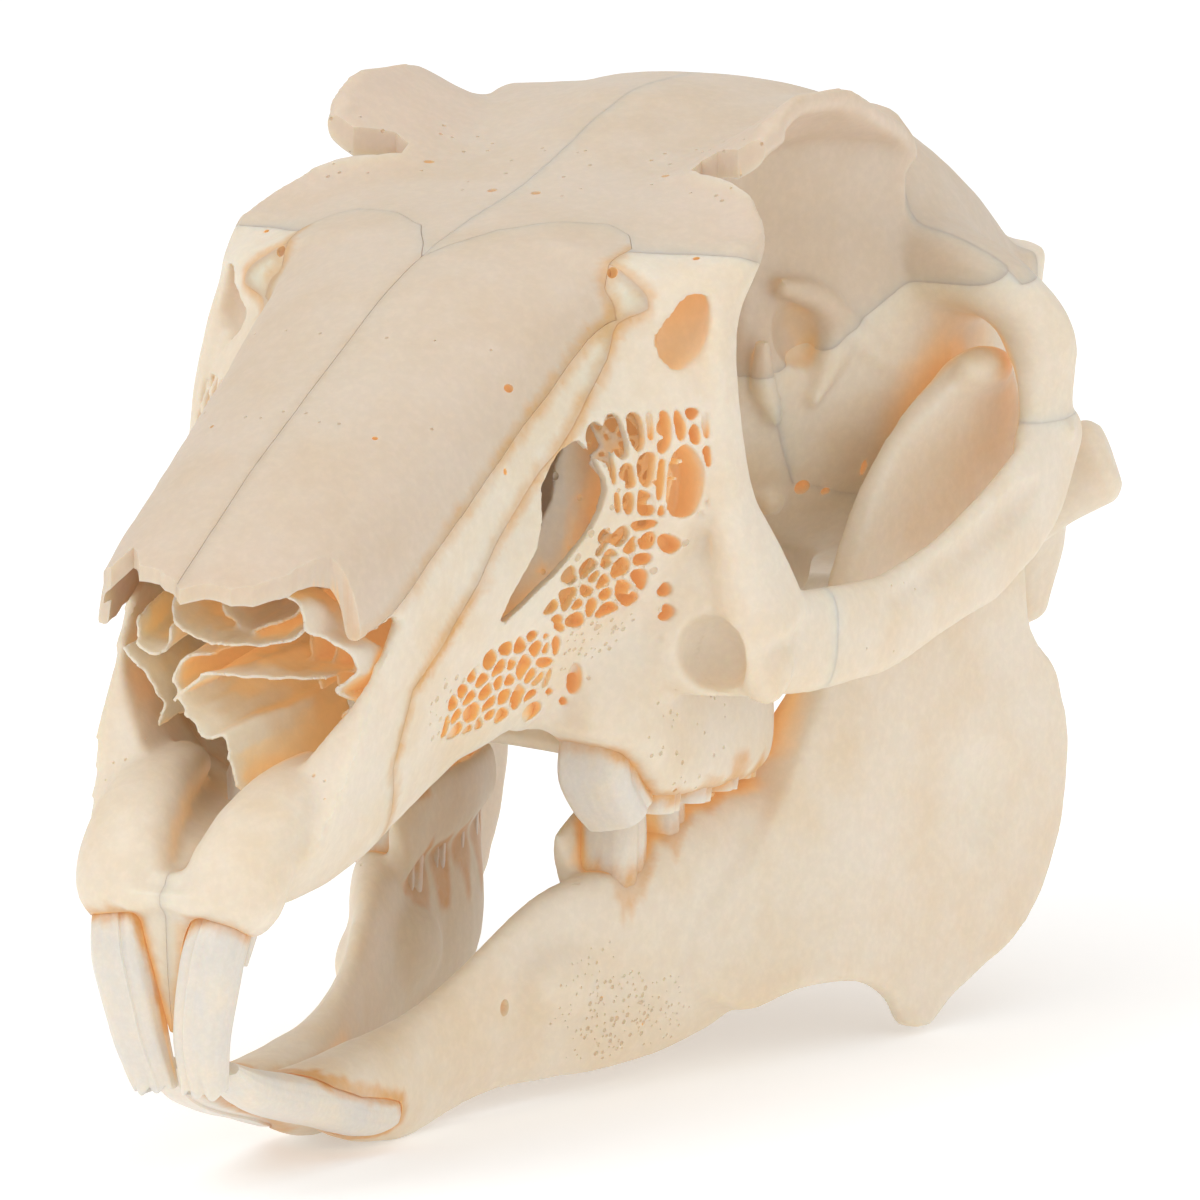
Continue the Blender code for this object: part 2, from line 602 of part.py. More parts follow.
# Outlines of the bones. Side views are (y, z), top views are (x, y).
NASAL = [(0.15, -4), (14, -4), (14, 31), (12.6, 33), (10.4, 34), (10.5, 36.8), (9.6, 38.2), (8.0, 38.6),
         (5.0, 37.6),
         (2.4, 36.0), (1.0, 33.4), (0.15, 31.5)]
NASAL_SIDE = [(-4, 60), (-4, 28.4), (4, 28.8), (8, 29.3), (12, 30.9), (17, 34.2), (22, 37.5), (27, 40.9),
              (31.8, 44.2),
              (36, 46.4), (40, 47.8), (44, 60)]
PREMAXILLA = [(-4, 8), (17.0, 8), (16.4, 18), (14.4, 22), (14.8, 26.4), (18.4, 30.0), (22, 33.6),
              (29.2, 39.4),
              (39.0, 48.0), (39.0, 49.4), (20, 50), (-4, 50)]
MAXILLA = [(9, 8), (58.5, 8), (58.5, 24.5), (50, 27.5), (46.5, 31.5), (44.2, 36), (43.0, 43), (42.4, 48.0),
           (38.9, 49.4), (9, 50)]
FRONTAL = [(31, 64), (31, 48.4), (36, 48.6), (39.2, 48.4), (43.2, 46.8), (44.6, 41.0), (50, 38.4),
           (58, 39.5),
           (66.4, 45.4), (67.4, 53), (68.9, 64)]
PARIETAL = [(66, 64), (66, 44.4), (72, 45.6), (83, 42.6), (86, 48), (88, 64)]
TEMPORAL = [(56, 46), (58.5, 33), (66, 31.4), (85.5, 31.4), (85.5, 46), (72, 50)]
OCCIPUT = [(84.5, 60), (82.6, 44), (84.6, 36), (84.6, 30), (83.4, 14), (99, 14), (99, 60)]
CHEEK = [(44.6, 40), (43.4, 15), (78, 15), (78, 36.4), (62, 36.4), (60, 40)]
PALATE = [(37.0, 14), (37.0, 23.2), (48.6, 23.2), (50, 25.4), (69.6, 25.4), (69.6, 14)]


# The broken front edge of the nasals as seen from above.
NOSE_EDGE = [(-12, -9), (12, -9), (12, 14.0), (7.4, 13.6), (6.9, 8.6), (6.2, 6.4), (4.9, 4.9), (3.4, 3.6),
             (1.6, 3.4),
             (0.4, 3.0), (-1.6, 4.4), (-3.2, 4.8), (-4.6, 6.6), (-5.5, 5.8), (-6.4, 6.6), (-7.0, 13.2),
             (-12, 13.6)]
# The corner that is missing from the right nasal's front end, as seen from above.
BROKEN_TIP = [(-12, -9), (-3, -9), (-4, 7.5), (-6.6, 8.6), (-12, 8.6)]


def cut_front(body):
    """Opens the nose between the nasals and the bone over the incisors."""
    body = boolean(body, cavity(), "DIFFERENCE")
    body = boolean(body, block("nose_edge", NOSE_EDGE, "xy", 28.6, 40), "DIFFERENCE")
    mouth = [(-6, 29.2), (8, 29.4), (13.4, 31.0), (11.6, 28.6), (9.5, 25), (7.5, 21), (5.8, 18.3),
             (4.2, 17.2),
             (2.0, 16.4), (-6, 16.0)]
    body = boolean(body, block("mouth", mouth, "yz", -12, 12), "DIFFERENCE")
    return boolean(body, block("broken_tip", BROKEN_TIP, "xy", 26, 31.1), "DIFFERENCE")


def cut_brow(body):
    """Opens the notch between the corner of the brow and the wing over each orbit."""
    notch = [(9.3, 46.4), (10.4, 45.6), (16, 43.8), (16, 46.4), (12.4, 46.3), (10.4, 47.8), (9.4, 47.6)]
    for side in (1, -1):
        body = boolean(body, block("notch", [(x * side, y) for x, y in notch], "xy", 50.8, 60),
                       "DIFFERENCE")
    return body


def cut_palate(body):
    """Opens the slits in the roof of the mouth and the wide gap behind the palate."""
    slit = [(0.7, 9.6), (1.6, 9.6), (2.8, 13), (4.2, 19), (5.2, 26), (5.4, 33), (4.2, 36.4), (0.7, 36.6)]
    for side in (1, -1):
        body = boolean(body, block("slit", [(x * side, y) for x, y in slit], "xy", 8, 24.5), "DIFFERENCE")
    return body


# Windows in the side of the snout: y, z, half length, half height, turn in degrees.
WINDOWS = ((27.6, 36.2, 1.5, 3.4, -20), (35.4, 42.4, 1.0, 2.4, -12), (31.6, 37.6, 0.8, 2.4, 0),
           (34.0, 36.6, 0.8, 2.2, 0),
           (30.6, 31.6, 1.1, 1.3, 20), (27.2, 29.6, 1.3, 1.0, 30), (33.6, 31.0, 0.8, 1.7, 0),
           (23.6, 27.4, 1.5, 0.8, 30))


def cut_side(body):
    """Opens the windows in the sides of the snout and over the tear duct."""
    for y, z, long, tall, turn in WINDOWS:
        window = []
        for i in range(7):
            a = 2 * math.pi * i / 7
            across, along_it = long * math.cos(a), tall * math.sin(a)
            t = math.radians(turn)
            window.append((y + across * math.cos(t) - along_it * math.sin(t),
                           z + across * math.sin(t) + along_it * math.cos(t)))
        for low, high in ((6, 20), (-20, -6)):
            body = boolean(body, block("window", window, "yz", low, high), "DIFFERENCE")
    return body


def incisor(grow=0.0, lean=0.0):
    """An upper incisor, curved down and back from its socket. The pair leans by lean, its tips not at all."""
    rows = [(3.8, 7.6, 17.4, 0.6, 0.8), (3.6, 5.2, 16.6, 1.0, 1.3), (3.2, 3.5, 14.8, 1.25, 1.6),
            (2.7, 2.6, 12.2, 1.3, 1.7), (2.0, 2.5, 8.8, 1.2, 1.55), (1.5, 3.2, 5.2 - grow, 0.7, 1.3)]
    return bar("upper_incisor",
               [(x - lean * (z - 10) / 12, y, z, deep + grow, wide + grow) for x, y, z, deep, wide in rows],
               count=9, around=12, power=3.0, up=(0, 1, 0))


def peg(grow=0.0):
    """The small peg tooth behind an upper incisor."""
    return bar("peg_tooth", [(1.6, 11.4, 18.0, 0.5 + grow, 0.6 + grow),
                             (1.6, 9.8, 15.8, 0.7 + grow, 0.7 + grow),
                             (1.6, 8.4, 13.4, 0.6 + grow, 0.6 + grow),
                             (1.6, 7.6, 11.6 - grow, 0.35 + grow, 0.5 + grow)],
               count=5, around=8, up=(0, 1, 0))


def lower_incisor(grow=0.0):
    """A lower incisor, nearly level, with its root in the front of the jaw."""
    rows = [(1.8, 5.0, 6.3, 0.4, 1.2), (1.95, 8, 4.7, 1.1, 1.5), (2.15, 11.4, 3.7, 1.3, 1.7),
            (2.4, 15, 2.8, 1.35, 1.75),
            (2.7, 18.5, 1.9, 1.3, 1.7), (3.0, 22, 1.6, 1.1, 1.4)]
    return bar("lower_incisor", [(x, y, z, deep + grow, wide + grow) for x, y, z, deep, wide in rows],
               count=8, around=12, power=2.6)


# Cheek teeth from front to back: y, x of the middle, half length, half width, lowest or highest z, and how far back
# and out the end of the crown stands.
UPPER_TEETH = ((35.8, 9.1, 1.7, 2.1, 16.6, 1.6, 0.6), (39.4, 9.9, 1.4, 2.3, 16.5, 0, 0),
               (42.4, 10.2, 1.4, 2.5, 16.7, 0, 0),
               (45.4, 10.4, 1.4, 2.5, 17.0, 0, 0), (48.2, 10.4, 1.2, 2.3, 17.3, 0, 0),
               (50.3, 10.2, 0.7, 1.1, 17.7, 0, 0))
LOWER_TEETH = ((41.3, 7.2, 1.8, 1.7, 16.0, 0.2, 0), (45.0, 7.8, 1.4, 1.9, 16.0, 0, 0),
               (48.1, 8.2, 1.3, 1.9, 16.2, 0, 0),
               (51.0, 8.7, 1.25, 1.8, 16.5, 0, 0), (53.5, 9.3, 0.9, 1.4, 16.9, 0, 0))


def cheek_teeth(name, rows, root):
    """A row of cheek teeth, each a waisted column with its root well inside the bone."""
    teeth = []
    for y, x, long, wide, end, back, shift in rows:
        slim = 1 - 0.08 * back
        teeth.append(bar(name, [(x, y, root, wide, long), (x, y, (root + end) / 2, wide * 0.98, long),
                                (x + shift, y + back, end, wide * 0.94 * slim, long * 0.92 * slim)],
                         count=3, around=8, power=4.0, up=(1, 0, 0)))
    return teeth


def united(obj, others):
    for other in others:
        obj = boolean(obj, outward(other), "UNION")
    return largest(obj)


# Base colour and roughness of each kind of surface.
FINISH = {
    "bone": ((0.80, 0.70, 0.54), 0.55),
    "roof_bone": ((0.72, 0.62, 0.50), 0.6),
    "tooth": ((0.84, 0.80, 0.72), 0.3),
}


def finish(kind):
    material = bpy.data.materials.get(kind)
    if material:
        return material
    material = bpy.data.materials.new(kind)
    material.use_nodes = True
    colour, roughness = FINISH[kind]
    shader = material.node_tree.nodes["Principled BSDF"]
    shader.inputs["Base Color"].default_value = (*colour, 1)
    shader.inputs["Roughness"].default_value = roughness
    return material


def cranium_nodes():
    """The bones of the cranium, parted from one fused form."""
    body = decimated(cranium_form(), GRIT)
    body = cut_brow(cut_side(cut_palate(cut_front(body))))
    ear = decimated(bulla(), 240)
    ears = both([ear])
    pocket = both([decimated(swollen(copy_of(ear, "pocket"), SUTURE), 240)])
    for other in pocket:
        body = boolean(body, other, "DIFFERENCE")
    nodes = {"bulla_left": ears[0], "bulla_right": ears[1]}
    wide, mid = 30, SUTURE / 2
    for side, low, high in (("left", mid, wide), ("right", -wide, -mid)):
        sign = 1 if side == "left" else -1
        nasal = [(x * sign, y) for x, y in NASAL]
        nodes["nasal_" + side], body = part_nasal(body, "nasal_" + side, nasal)
    for side, sign in (("left", 1), ("right", -1)):
        def span(a, b):
            return (a, b) if sign > 0 else (-b, -a)

        nodes["zygomatic_" + side], body = part_off(body, "zygomatic", CHEEK, "yz", *span(16.0, wide))
        nodes["frontal_" + side], body = part_off(body, "frontal", FRONTAL, "yz", *span(mid, wide))
        nodes["parietal_" + side], body = part_off(body, "parietal", PARIETAL, "yz", *span(mid, wide))
        nodes["temporal_" + side], body = part_off(body, "temporal", TEMPORAL, "yz", *span(9.0, wide))
        nodes["premaxilla_" + side], body = part_off(body, "premaxilla", PREMAXILLA, "yz", *span(mid, wide))
    nodes["occipital"], body = part_off(body, "occipital", OCCIPUT, "yz", -wide, wide)
    nodes["palate"], body = part_off(body, "palate", PALATE, "yz", -7.2, 7.2)
    for side, sign in (("left", 1), ("right", -1)):
        low, high = (mid, wide) if sign > 0 else (-wide, -mid)
        nodes["maxilla_" + side], body = part_off(body, "maxilla", MAXILLA, "yz", low, high)
    nodes["sphenoid"] = largest(body)
    return nodes


def part_nasal(body, name, outline):
    """Cuts a nasal bone along its outlines from above and from the side."""
    def tool(margin):
        above = block("nasal_above", outline, "xy", 20, 62, margin)
        return boolean(above, block("nasal_beside", NASAL_SIDE, "yz", -20, 20, margin), "INTERSECT")

    piece = boolean(copy_of(body, name), tool(0), "INTERSECT")
    return largest(piece), boolean(body, tool(SUTURE), "DIFFERENCE")


def swollen(obj, by):
    """Moves the skin of a closed mesh outwards."""
    modifier = obj.modifiers.new("Displace", "DISPLACE")
    modifier.strength = by
    modifier.mid_level = 0
    return to_mesh(obj)


def main():
    for obj in list(bpy.data.objects):
        bpy.data.objects.remove(obj)
    nodes = cranium_nodes()
    for side, sign in (("left", 1), ("right", -1)):
        def placed(obj):
            return obj if sign > 0 else flipped(obj)

        bone = nodes["premaxilla_" + side]
        lean = 0.9 * sign
        bone = boolean(bone, placed(outward(incisor(SUTURE, lean))), "DIFFERENCE")
        nodes["premaxilla_" + side] = largest(boolean(bone, placed(outward(peg(SUTURE))), "DIFFERENCE"))
        nodes["upper_incisor_" + side] = placed(outward(incisor(0.0, lean)))
        nodes["peg_tooth_" + side] = placed(outward(peg()))
        nodes["maxilla_" + side] = united(nodes["maxilla_" + side],
                                          [placed(outward(t)) for t in cheek_teeth("tooth", UPPER_TEETH,
                                                                                   21.5)])
        jaw = decimated(jaw_form(), JAW_GRIT)
        jaw = boolean(jaw, block("middle", [(-3, -3), (90, -3), (90, 60), (-3, 60)], "yz", -20, SUTURE / 2),
                      "DIFFERENCE")
        jaw = largest(boolean(jaw, outward(lower_incisor(SUTURE)), "DIFFERENCE"))
        nodes["mandible_" + side] = placed(united(jaw, cheek_teeth("tooth", LOWER_TEETH, 9.0)))
        nodes["lower_incisor_" + side] = placed(outward(lower_incisor()))
    skull = bpy.data.collections.new("hare_skull")
    bpy.context.scene.collection.children.link(skull)
    for obj in nodes.values():
        obj.data.transform(Matrix.Rotation(math.radians(-NOD), 4, "X"))
    corners = np.array([v.co[:] for obj in nodes.values() for v in obj.data.vertices])
    low, high = corners.min(0), corners.max(0)
    to_origin = Matrix.Translation((-(low[0] + high[0]) / 2, -(low[1] + high[1]) / 2, -low[2]))
    for name, obj in nodes.items():
        obj.name = name
        obj.data.name = name
        obj.data.transform(Matrix.Scale(MM, 4) @ to_origin)
        kind = "roof_bone" if name[:5] in ("nasal", "front") else "bone"
        if "incisor" in name or "peg" in name:
            kind = "tooth"
        obj.data.materials.clear()
        obj.data.materials.append(finish(kind))
        for owner in list(obj.users_collection):
            owner.objects.unlink(obj)
        skull.objects.link(obj)


def flipped(obj):
    made = mirrored(obj)
    bpy.data.objects.remove(obj)
    return made


if __name__ == "__main__":
    main()
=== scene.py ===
"""A hare's skull with its jaw closed, cleaned and bleached, as a museum shows it.

Lengths are in millimetres in the animal's own frame until a piece is settled: +X is the animal's left,
+Y runs back from the nose, +Z is up. Settling tips the skull on its jaw and turns it to metres.
"""

import logging
import math
from dataclasses import dataclass, field
from enum import Enum
from typing import Callable, Sequence

import bmesh
import bpy
import numpy as np
from mathutils import Matrix, Vector
from mathutils.bvhtree import BVHTree


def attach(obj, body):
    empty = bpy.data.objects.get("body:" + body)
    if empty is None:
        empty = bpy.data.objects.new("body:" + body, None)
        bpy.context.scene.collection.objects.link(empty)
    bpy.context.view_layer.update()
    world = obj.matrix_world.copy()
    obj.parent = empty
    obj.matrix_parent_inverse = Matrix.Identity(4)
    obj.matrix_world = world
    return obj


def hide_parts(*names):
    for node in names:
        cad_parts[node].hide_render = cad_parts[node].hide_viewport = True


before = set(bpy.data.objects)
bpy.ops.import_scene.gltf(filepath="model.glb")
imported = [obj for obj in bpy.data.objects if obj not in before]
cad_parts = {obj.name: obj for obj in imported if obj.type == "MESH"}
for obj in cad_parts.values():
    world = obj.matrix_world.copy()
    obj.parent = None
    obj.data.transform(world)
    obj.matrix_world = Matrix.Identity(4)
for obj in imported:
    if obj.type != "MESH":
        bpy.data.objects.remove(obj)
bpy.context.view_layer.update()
LOG = logging.getLogger("hare_skull")

Keys = Sequence[tuple[float, float]]
Outline = Sequence[tuple[float, ...]]
Solid = bpy.types.Object

MM = 0.001
NOD = 1.5  # degrees that the skull is tipped so that its jaw rests on the floor
SHIFT = (0.13291, -47.93277, 1.31780)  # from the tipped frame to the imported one, in mm
GRIT = 0.3  # grid on which the forms of the cranium are fused
SEAM = 0.06  # gap that two bones keep along a suture
MOST_TRIANGLES = 185_000  # in one piece


class Side(Enum):
    """A side of the animal, as the sign of its x."""

    LEFT = 1
    RIGHT = -1

    @property
    def word(self) -> str:
        """The side's name in a piece's name."""
        return self.name.lower()


class Plane(Enum):
    """The plane in which an outline is drawn."""

    FLANK = "yz"
    TOP = "xy"


class Cut(Enum):
    """What a Boolean cut keeps."""

    INSIDE = "INTERSECT"
    OUTSIDE = "DIFFERENCE"
    BOTH = "UNION"


def keyed(keys: Keys, t: float | np.ndarray) -> float | np.ndarray:
    """Reads a smooth curve through (t, value) pairs that doesn't overshoot between them.

    Args:
        keys: the pairs, with t rising.
        t: where to read the curve.
    Returns:
        The value at each t.
    """
    ts = np.array([key[0] for key in keys], float)
    vs = np.array([key[1] for key in keys], float)
    t = np.clip(np.asarray(t, float), ts[0], ts[-1])
    step = np.diff(ts)
    slope = np.diff(vs) / step
    tangent = np.zeros(len(ts))
    tangent[0], tangent[-1] = slope[0], slope[-1]
    for i in range(1, len(ts) - 1):
        if slope[i - 1] * slope[i] > 0:
            tangent[i] = 2 * slope[i - 1] * slope[i] / (slope[i - 1] + slope[i])
    i = np.clip(np.searchsorted(ts, t, side="right") - 1, 0, len(step) - 1)
    h = step[i]
    s = (t - ts[i]) / h
    return (
        vs[i] * (1 + 2 * s) * (1 - s) ** 2
        + vs[i + 1] * s * s * (3 - 2 * s)
        + h * tangent[i] * s * (1 - s) ** 2
        - h * tangent[i + 1] * s * s * (1 - s)
    )


def along(points: Outline, count: int) -> np.ndarray:
    """Spaces points evenly on a smooth curve.

    Args:
        points: points that the curve goes through, with any number of values after x, y and z.
        count: how many points to make.
    Returns:
        An array with a row for each point.
    """
    given = np.array(points, float)
    steps = np.linalg.norm(np.diff(given[:, :3], axis=0), axis=1)
    at = np.concatenate([[0], np.cumsum(steps)])
    where = np.linspace(0, at[-1], count)
    return np.stack([keyed(list(zip(at, given[:, k])), where) for k in range(given.shape[1])], 1)


def closed_curve(points: Outline, per: int) -> np.ndarray:
    """Rounds a closed ring of points.

    Args:
        points: corners that the ring goes through.
        per: points for each stretch between two corners.
    Returns:
        An array of points.
    """
    p = np.array(points, float)
    rows = []
    for i in range(len(p)):
        a, b, c, d = p[i - 1], p[i], p[(i + 1) % len(p)], p[(i + 2) % len(p)]
        for s in np.arange(per) / per:
            rows.append(0.5 * (2 * b + (c - a) * s + (2 * a - 5 * b + 4 * c - d) * s**2
                               + (3 * b - a - 3 * c + d) * s**3))
    return np.array(rows)


def lumps(points: np.ndarray, size: float, seed: int) -> np.ndarray:
    """Smooth noise from -1 to 1.

    Args:
        points: an array of x, y, z rows.
        size: the distance between lumps.
        seed: a whole number that picks the pattern.
    Returns:
        A value for each point.
    """
    p = points / size + seed * 0.37
    base = np.floor(p).astype(np.int64)
    f = p - base
    f = f * f * (3 - 2 * f)
    total = np.zeros(len(p))
    for corner in range(8):
        offset = np.array([(corner >> k) & 1 for k in range(3)])
        key = (base + offset) @ np.array([73856093, 19349663, 83492791]) + seed * 2654435
        key = (key ^ (key >> 13)) * 1274126177
        value = ((key ^ (key >> 16)) & 0xFFFF) / 32767.5 - 1
        total += value * np.prod(np.where(offset, f, 1 - f), 1)
    return total


def solid(name: str, points: Sequence, faces: Sequence) -> Solid:
    """Makes a mesh object.

    Args:
        name: its name.
        points: its corners.
        faces: rings of corner numbers.
    Returns:
        The object, linked to the scene.
    """
    mesh = bpy.data.meshes.new(name)
    mesh.from_pydata([tuple(map(float, p)) for p in points], [], faces)
    mesh.update()
    return placed(name, mesh)


def placed(name: str, mesh: bpy.types.Mesh) -> Solid:
    """Links a new object that holds a mesh.

    Args:
        name: its name.
        mesh: its mesh.
    Returns:
        The object.
    """
    obj = bpy.data.objects.new(name, mesh)
    bpy.context.scene.collection.objects.link(obj)
    return obj


def loft(name: str, rings: Sequence) -> Solid:
    """Makes a closed skin through rings of equal length, capped at both ends.

    Args:
        name: the object's name.
        rings: rings of points.
    Returns:
        The solid.
    """
    rings = [np.array(ring, float) for ring in rings]
    n = len(rings[0])
    faces = [
        (k * n + i, k * n + (i + 1) % n, (k + 1) * n + (i + 1) % n, (k + 1) * n + i)
        for k in range(len(rings) - 1)
        for i in range(n)
    ]
    faces.append(tuple(range(n))[::-1])
    faces.append(tuple(range((len(rings) - 1) * n, len(rings) * n)))
    return solid(name, np.concatenate(rings), faces)


def bar(name: str, stations: Outline, count: int = 40, around: int = 24, power: float = 2.4,
        up: tuple[float, float, float] = (0, 0, 1), crown: Callable | None = None) -> Solid:
    """Makes a bar through stations.

    Args:
        name: the object's name.
        stations: x, y, z, half depth, half thickness and, if wanted, roll in degrees. Depth is along up.
        count: rings along the bar.
        around: points in a ring.
        power: 2 for an oval section, more for a squarer one.
        up: the direction of the depth.
        crown: scales a ring's radius by angle and by share of the way along the bar.
    Returns:
        The solid.
    """
    rows = along([tuple(s) + (0,) * (6 - len(s)) for s in stations], count)
    tangents = np.gradient(rows[:, :3], axis=0)
    rings = []
    for k, (row, tangent) in enumerate(zip(rows, tangents)):
        forward = Vector(tangent).normalized()
        deep = Vector(up) - Vector(up).dot(forward) * forward
        deep = Matrix.Rotation(math.radians(row[5]), 3, forward) @ deep.normalized()
        side = forward.cross(deep)
        ring = []
        for i in range(around):
            a = 2 * math.pi * i / around
            c, s = math.cos(a), math.sin(a)
            r = (abs(c) ** power + abs(s) ** power) ** (-1 / power)
            if crown:
                r *= crown(a, k / (count - 1))
            ring.append(Vector(row[:3]) + deep * (row[3] * r * c) + side * (row[4] * r * s))
        rings.append(ring)
    return outward(loft(name, rings))


def blob(name: str, centre: tuple, radii: tuple, turn: tuple = (0, 0, 0), detail: int = 4) -> Solid:
    """Makes a swelling in the shape of an egg.

    Args:
        name: the object's name.
        centre: its middle.
        radii: its half sizes.
        turn: degrees about x, y and z.
        detail: how often its faces are divided.
    Returns:
        The solid.
    """
    bm = bmesh.new()
    bmesh.ops.create_icosphere(bm, subdivisions=detail, radius=1)
    turned = Matrix.Translation(Vector(centre))
    for angle, axis in zip(turn, "XYZ"):
        turned = turned @ Matrix.Rotation(math.radians(angle), 4, axis)
    bm.transform(turned @ Matrix.Diagonal((*radii, 1)))
    mesh = bpy.data.meshes.new(name)
    bm.to_mesh(mesh)
    bm.free()
    return placed(name, mesh)


def applied(obj: Solid) -> Solid:
    """Replaces an object by the mesh that its modifiers or its curve give.

    Args:
        obj: the object, which is removed.
    Returns:
        A plain mesh object of the same name.
    """
    graph = bpy.context.evaluated_depsgraph_get()
    mesh = bpy.data.meshes.new_from_object(obj.evaluated_get(graph))
    name = obj.name
    bpy.data.objects.remove(obj)
    return placed(name, mesh)


def remeshed(obj: Solid, voxel: float, rounds: int = 0, factor: float = 0.5) -> Solid:
    """Draws a closed skin anew on a grid and smooths it.

    Args:
        obj: the solid, which is removed.
        voxel: the grid's spacing.
        rounds: how often it is smoothed.
        factor: how far each round goes.
    Returns:
        The new solid.
    """
    modifier = obj.modifiers.new("Remesh", "REMESH")
    modifier.mode = "VOXEL"
    modifier.voxel_size = voxel
    modifier.adaptivity = 0
    if rounds:
        modifier = obj.modifiers.new("Smooth", "SMOOTH")
        modifier.factor = factor
        modifier.iterations = rounds
    return applied(obj)


def thinned(obj: Solid, most: int) -> Solid:
    """Draws a mesh that has too many triangles with fewer, mostly where it is smooth.

    Args:
        obj: the solid, which may be replaced.
        most: how many triangles it may have.
    Returns:
        The solid.
    """
    obj.data.calc_loop_triangles()
    count = len(obj.data.loop_triangles)
    if count <= most:
        return obj
    modifier = obj.modifiers.new("Decimate", "DECIMATE")
    modifier.ratio = most / count
    return applied(obj)


def slab(name: str, outline: Outline, plane: Plane, thickness: float, voxel: float, rounds: int) -> Solid:
    """Makes a flat plate.

    Args:
        name: the object's name.
        outline: its edge, rounded between the points.
        plane: the plane in which the outline is drawn.
        thickness: its thickness across that plane.
        voxel: the grid on which its faces are drawn.
        rounds: how often it is smoothed.
    Returns:
        The plate, centred on its plane.
    """
    curve = bpy.data.curves.new(name, "CURVE")
    curve.dimensions = "2D"
    curve.fill_mode = "BOTH"
    curve.extrude = thickness / 2
    curve.resolution_u = 8
    spline = curve.splines.new("BEZIER")
    spline.bezier_points.add(len(outline) - 1)
    spline.use_cyclic_u = True
    for point, key in zip(spline.bezier_points, outline):
        point.co = (key[0], key[1], 0)
        point.handle_left_type = point.handle_right_type = "AUTO"
    obj = bpy.data.objects.new(name, curve)
    bpy.context.scene.collection.objects.link(obj)
    obj = remeshed(applied(obj), voxel, rounds)
    if plane is Plane.FLANK:
        obj.data.transform(Matrix(((0, 0, 1, 0), (1, 0, 0, 0), (0, 1, 0, 0), (0, 0, 0, 1))))
    return obj


def corners(obj: Solid) -> np.ndarray:
    """Reads the points of a mesh.

    Args:
        obj: the solid.
    Returns:
        Rows of x, y, z.
    """
    co = np.empty(len(obj.data.vertices) * 3)
    obj.data.vertices.foreach_get("co", co)
    return co.reshape(-1, 3)


def move_corners(obj: Solid, co: np.ndarray) -> Solid:
    """Gives a mesh new points.

    Args:
        obj: the solid.
        co: rows of x, y, z.
    Returns:
        The same solid.
    """
    obj.data.vertices.foreach_set("co", np.ascontiguousarray(co, np.float32).ravel())
    obj.data.update()
    return obj


def warp(obj: Solid, move: Callable) -> Solid:
    """Moves every point of a solid."""
    return move_corners(obj, np.stack(move(*corners(obj).T), 1))


def joined(name: str, objects: Sequence[Solid]) -> Solid:
    """Puts the meshes of several objects in one.

    Args:
        name: the new object's name.
        objects: the objects, which are removed.
    Returns:
        The new object.
    """
    bm = bmesh.new()
    for obj in objects:
        bm.from_mesh(obj.data)
        bpy.data.objects.remove(obj)
    mesh = bpy.data.meshes.new(name)
    bm.to_mesh(mesh)
    bm.free()
    return placed(name, mesh)


def mirrored(obj: Solid) -> Solid:
    """Makes a copy on the other side of the midline, facing out.

    Args:
        obj: the solid, which stays.
    Returns:
        The copy.
    """
    made = placed(obj.name + "_mirrored", obj.data.copy())
    made.data.transform(Matrix.Diagonal((-1, 1, 1, 1)))
    made.data.flip_normals()
    return made


def both(objects: Sequence[Solid]) -> list[Solid]:
    """The solids and their mirrored copies."""
    return [*objects, *(mirrored(obj) for obj in objects)]


def copy_of(obj: Solid, name: str) -> Solid:
    """A copy of a solid under another name."""
    return placed(name, obj.data.copy())


def cut(obj: Solid, tool: Solid, keep: Cut) -> Solid:
    """Cuts or joins two closed solids.

    Args:
        obj: the solid, which is replaced.
        tool: the other solid, which is removed.
        keep: what stays.
    Returns:
        The new solid.
    """
    modifier = obj.modifiers.new("Boolean", "BOOLEAN")
    modifier.operation = keep.value
    modifier.solver = "MANIFOLD"
    modifier.object = tool
    made = applied(obj)
    bpy.data.objects.remove(tool)
    return made


def fuse(name: str, objects: Sequence[Solid], voxel: float, rounds: int) -> Solid:
    """Melts overlapping closed forms into one skin and softens where they meet."""
    return remeshed(joined(name, objects), voxel, rounds)


def outward(obj: Solid) -> Solid:
    """Turns a closed mesh right side out.

    Args:
        obj: the solid.
    Returns:
        The same solid.
    """
    mesh = obj.data
    mesh.calc_loop_triangles()
    ring = np.empty(len(mesh.loop_triangles) * 3, np.int32)
    mesh.loop_triangles.foreach_get("vertices", ring)
    v = corners(obj)[ring].reshape(-1, 3, 3)
    if np.einsum("ij,ij->i", v[:, 0], np.cross(v[:, 1], v[:, 2])).sum() < 0:
        mesh.flip_normals()
    return obj


def edge_pairs(mesh: bpy.types.Mesh) -> np.ndarray:
    """Reads the edges of a mesh.

    Args:
        mesh: the mesh.
    Returns:
        Rows of the two point numbers of each edge.
    """
    pairs = np.empty(len(mesh.edges) * 2, np.int32)
    mesh.edges.foreach_get("vertices", pairs)
    return pairs.reshape(-1, 2)


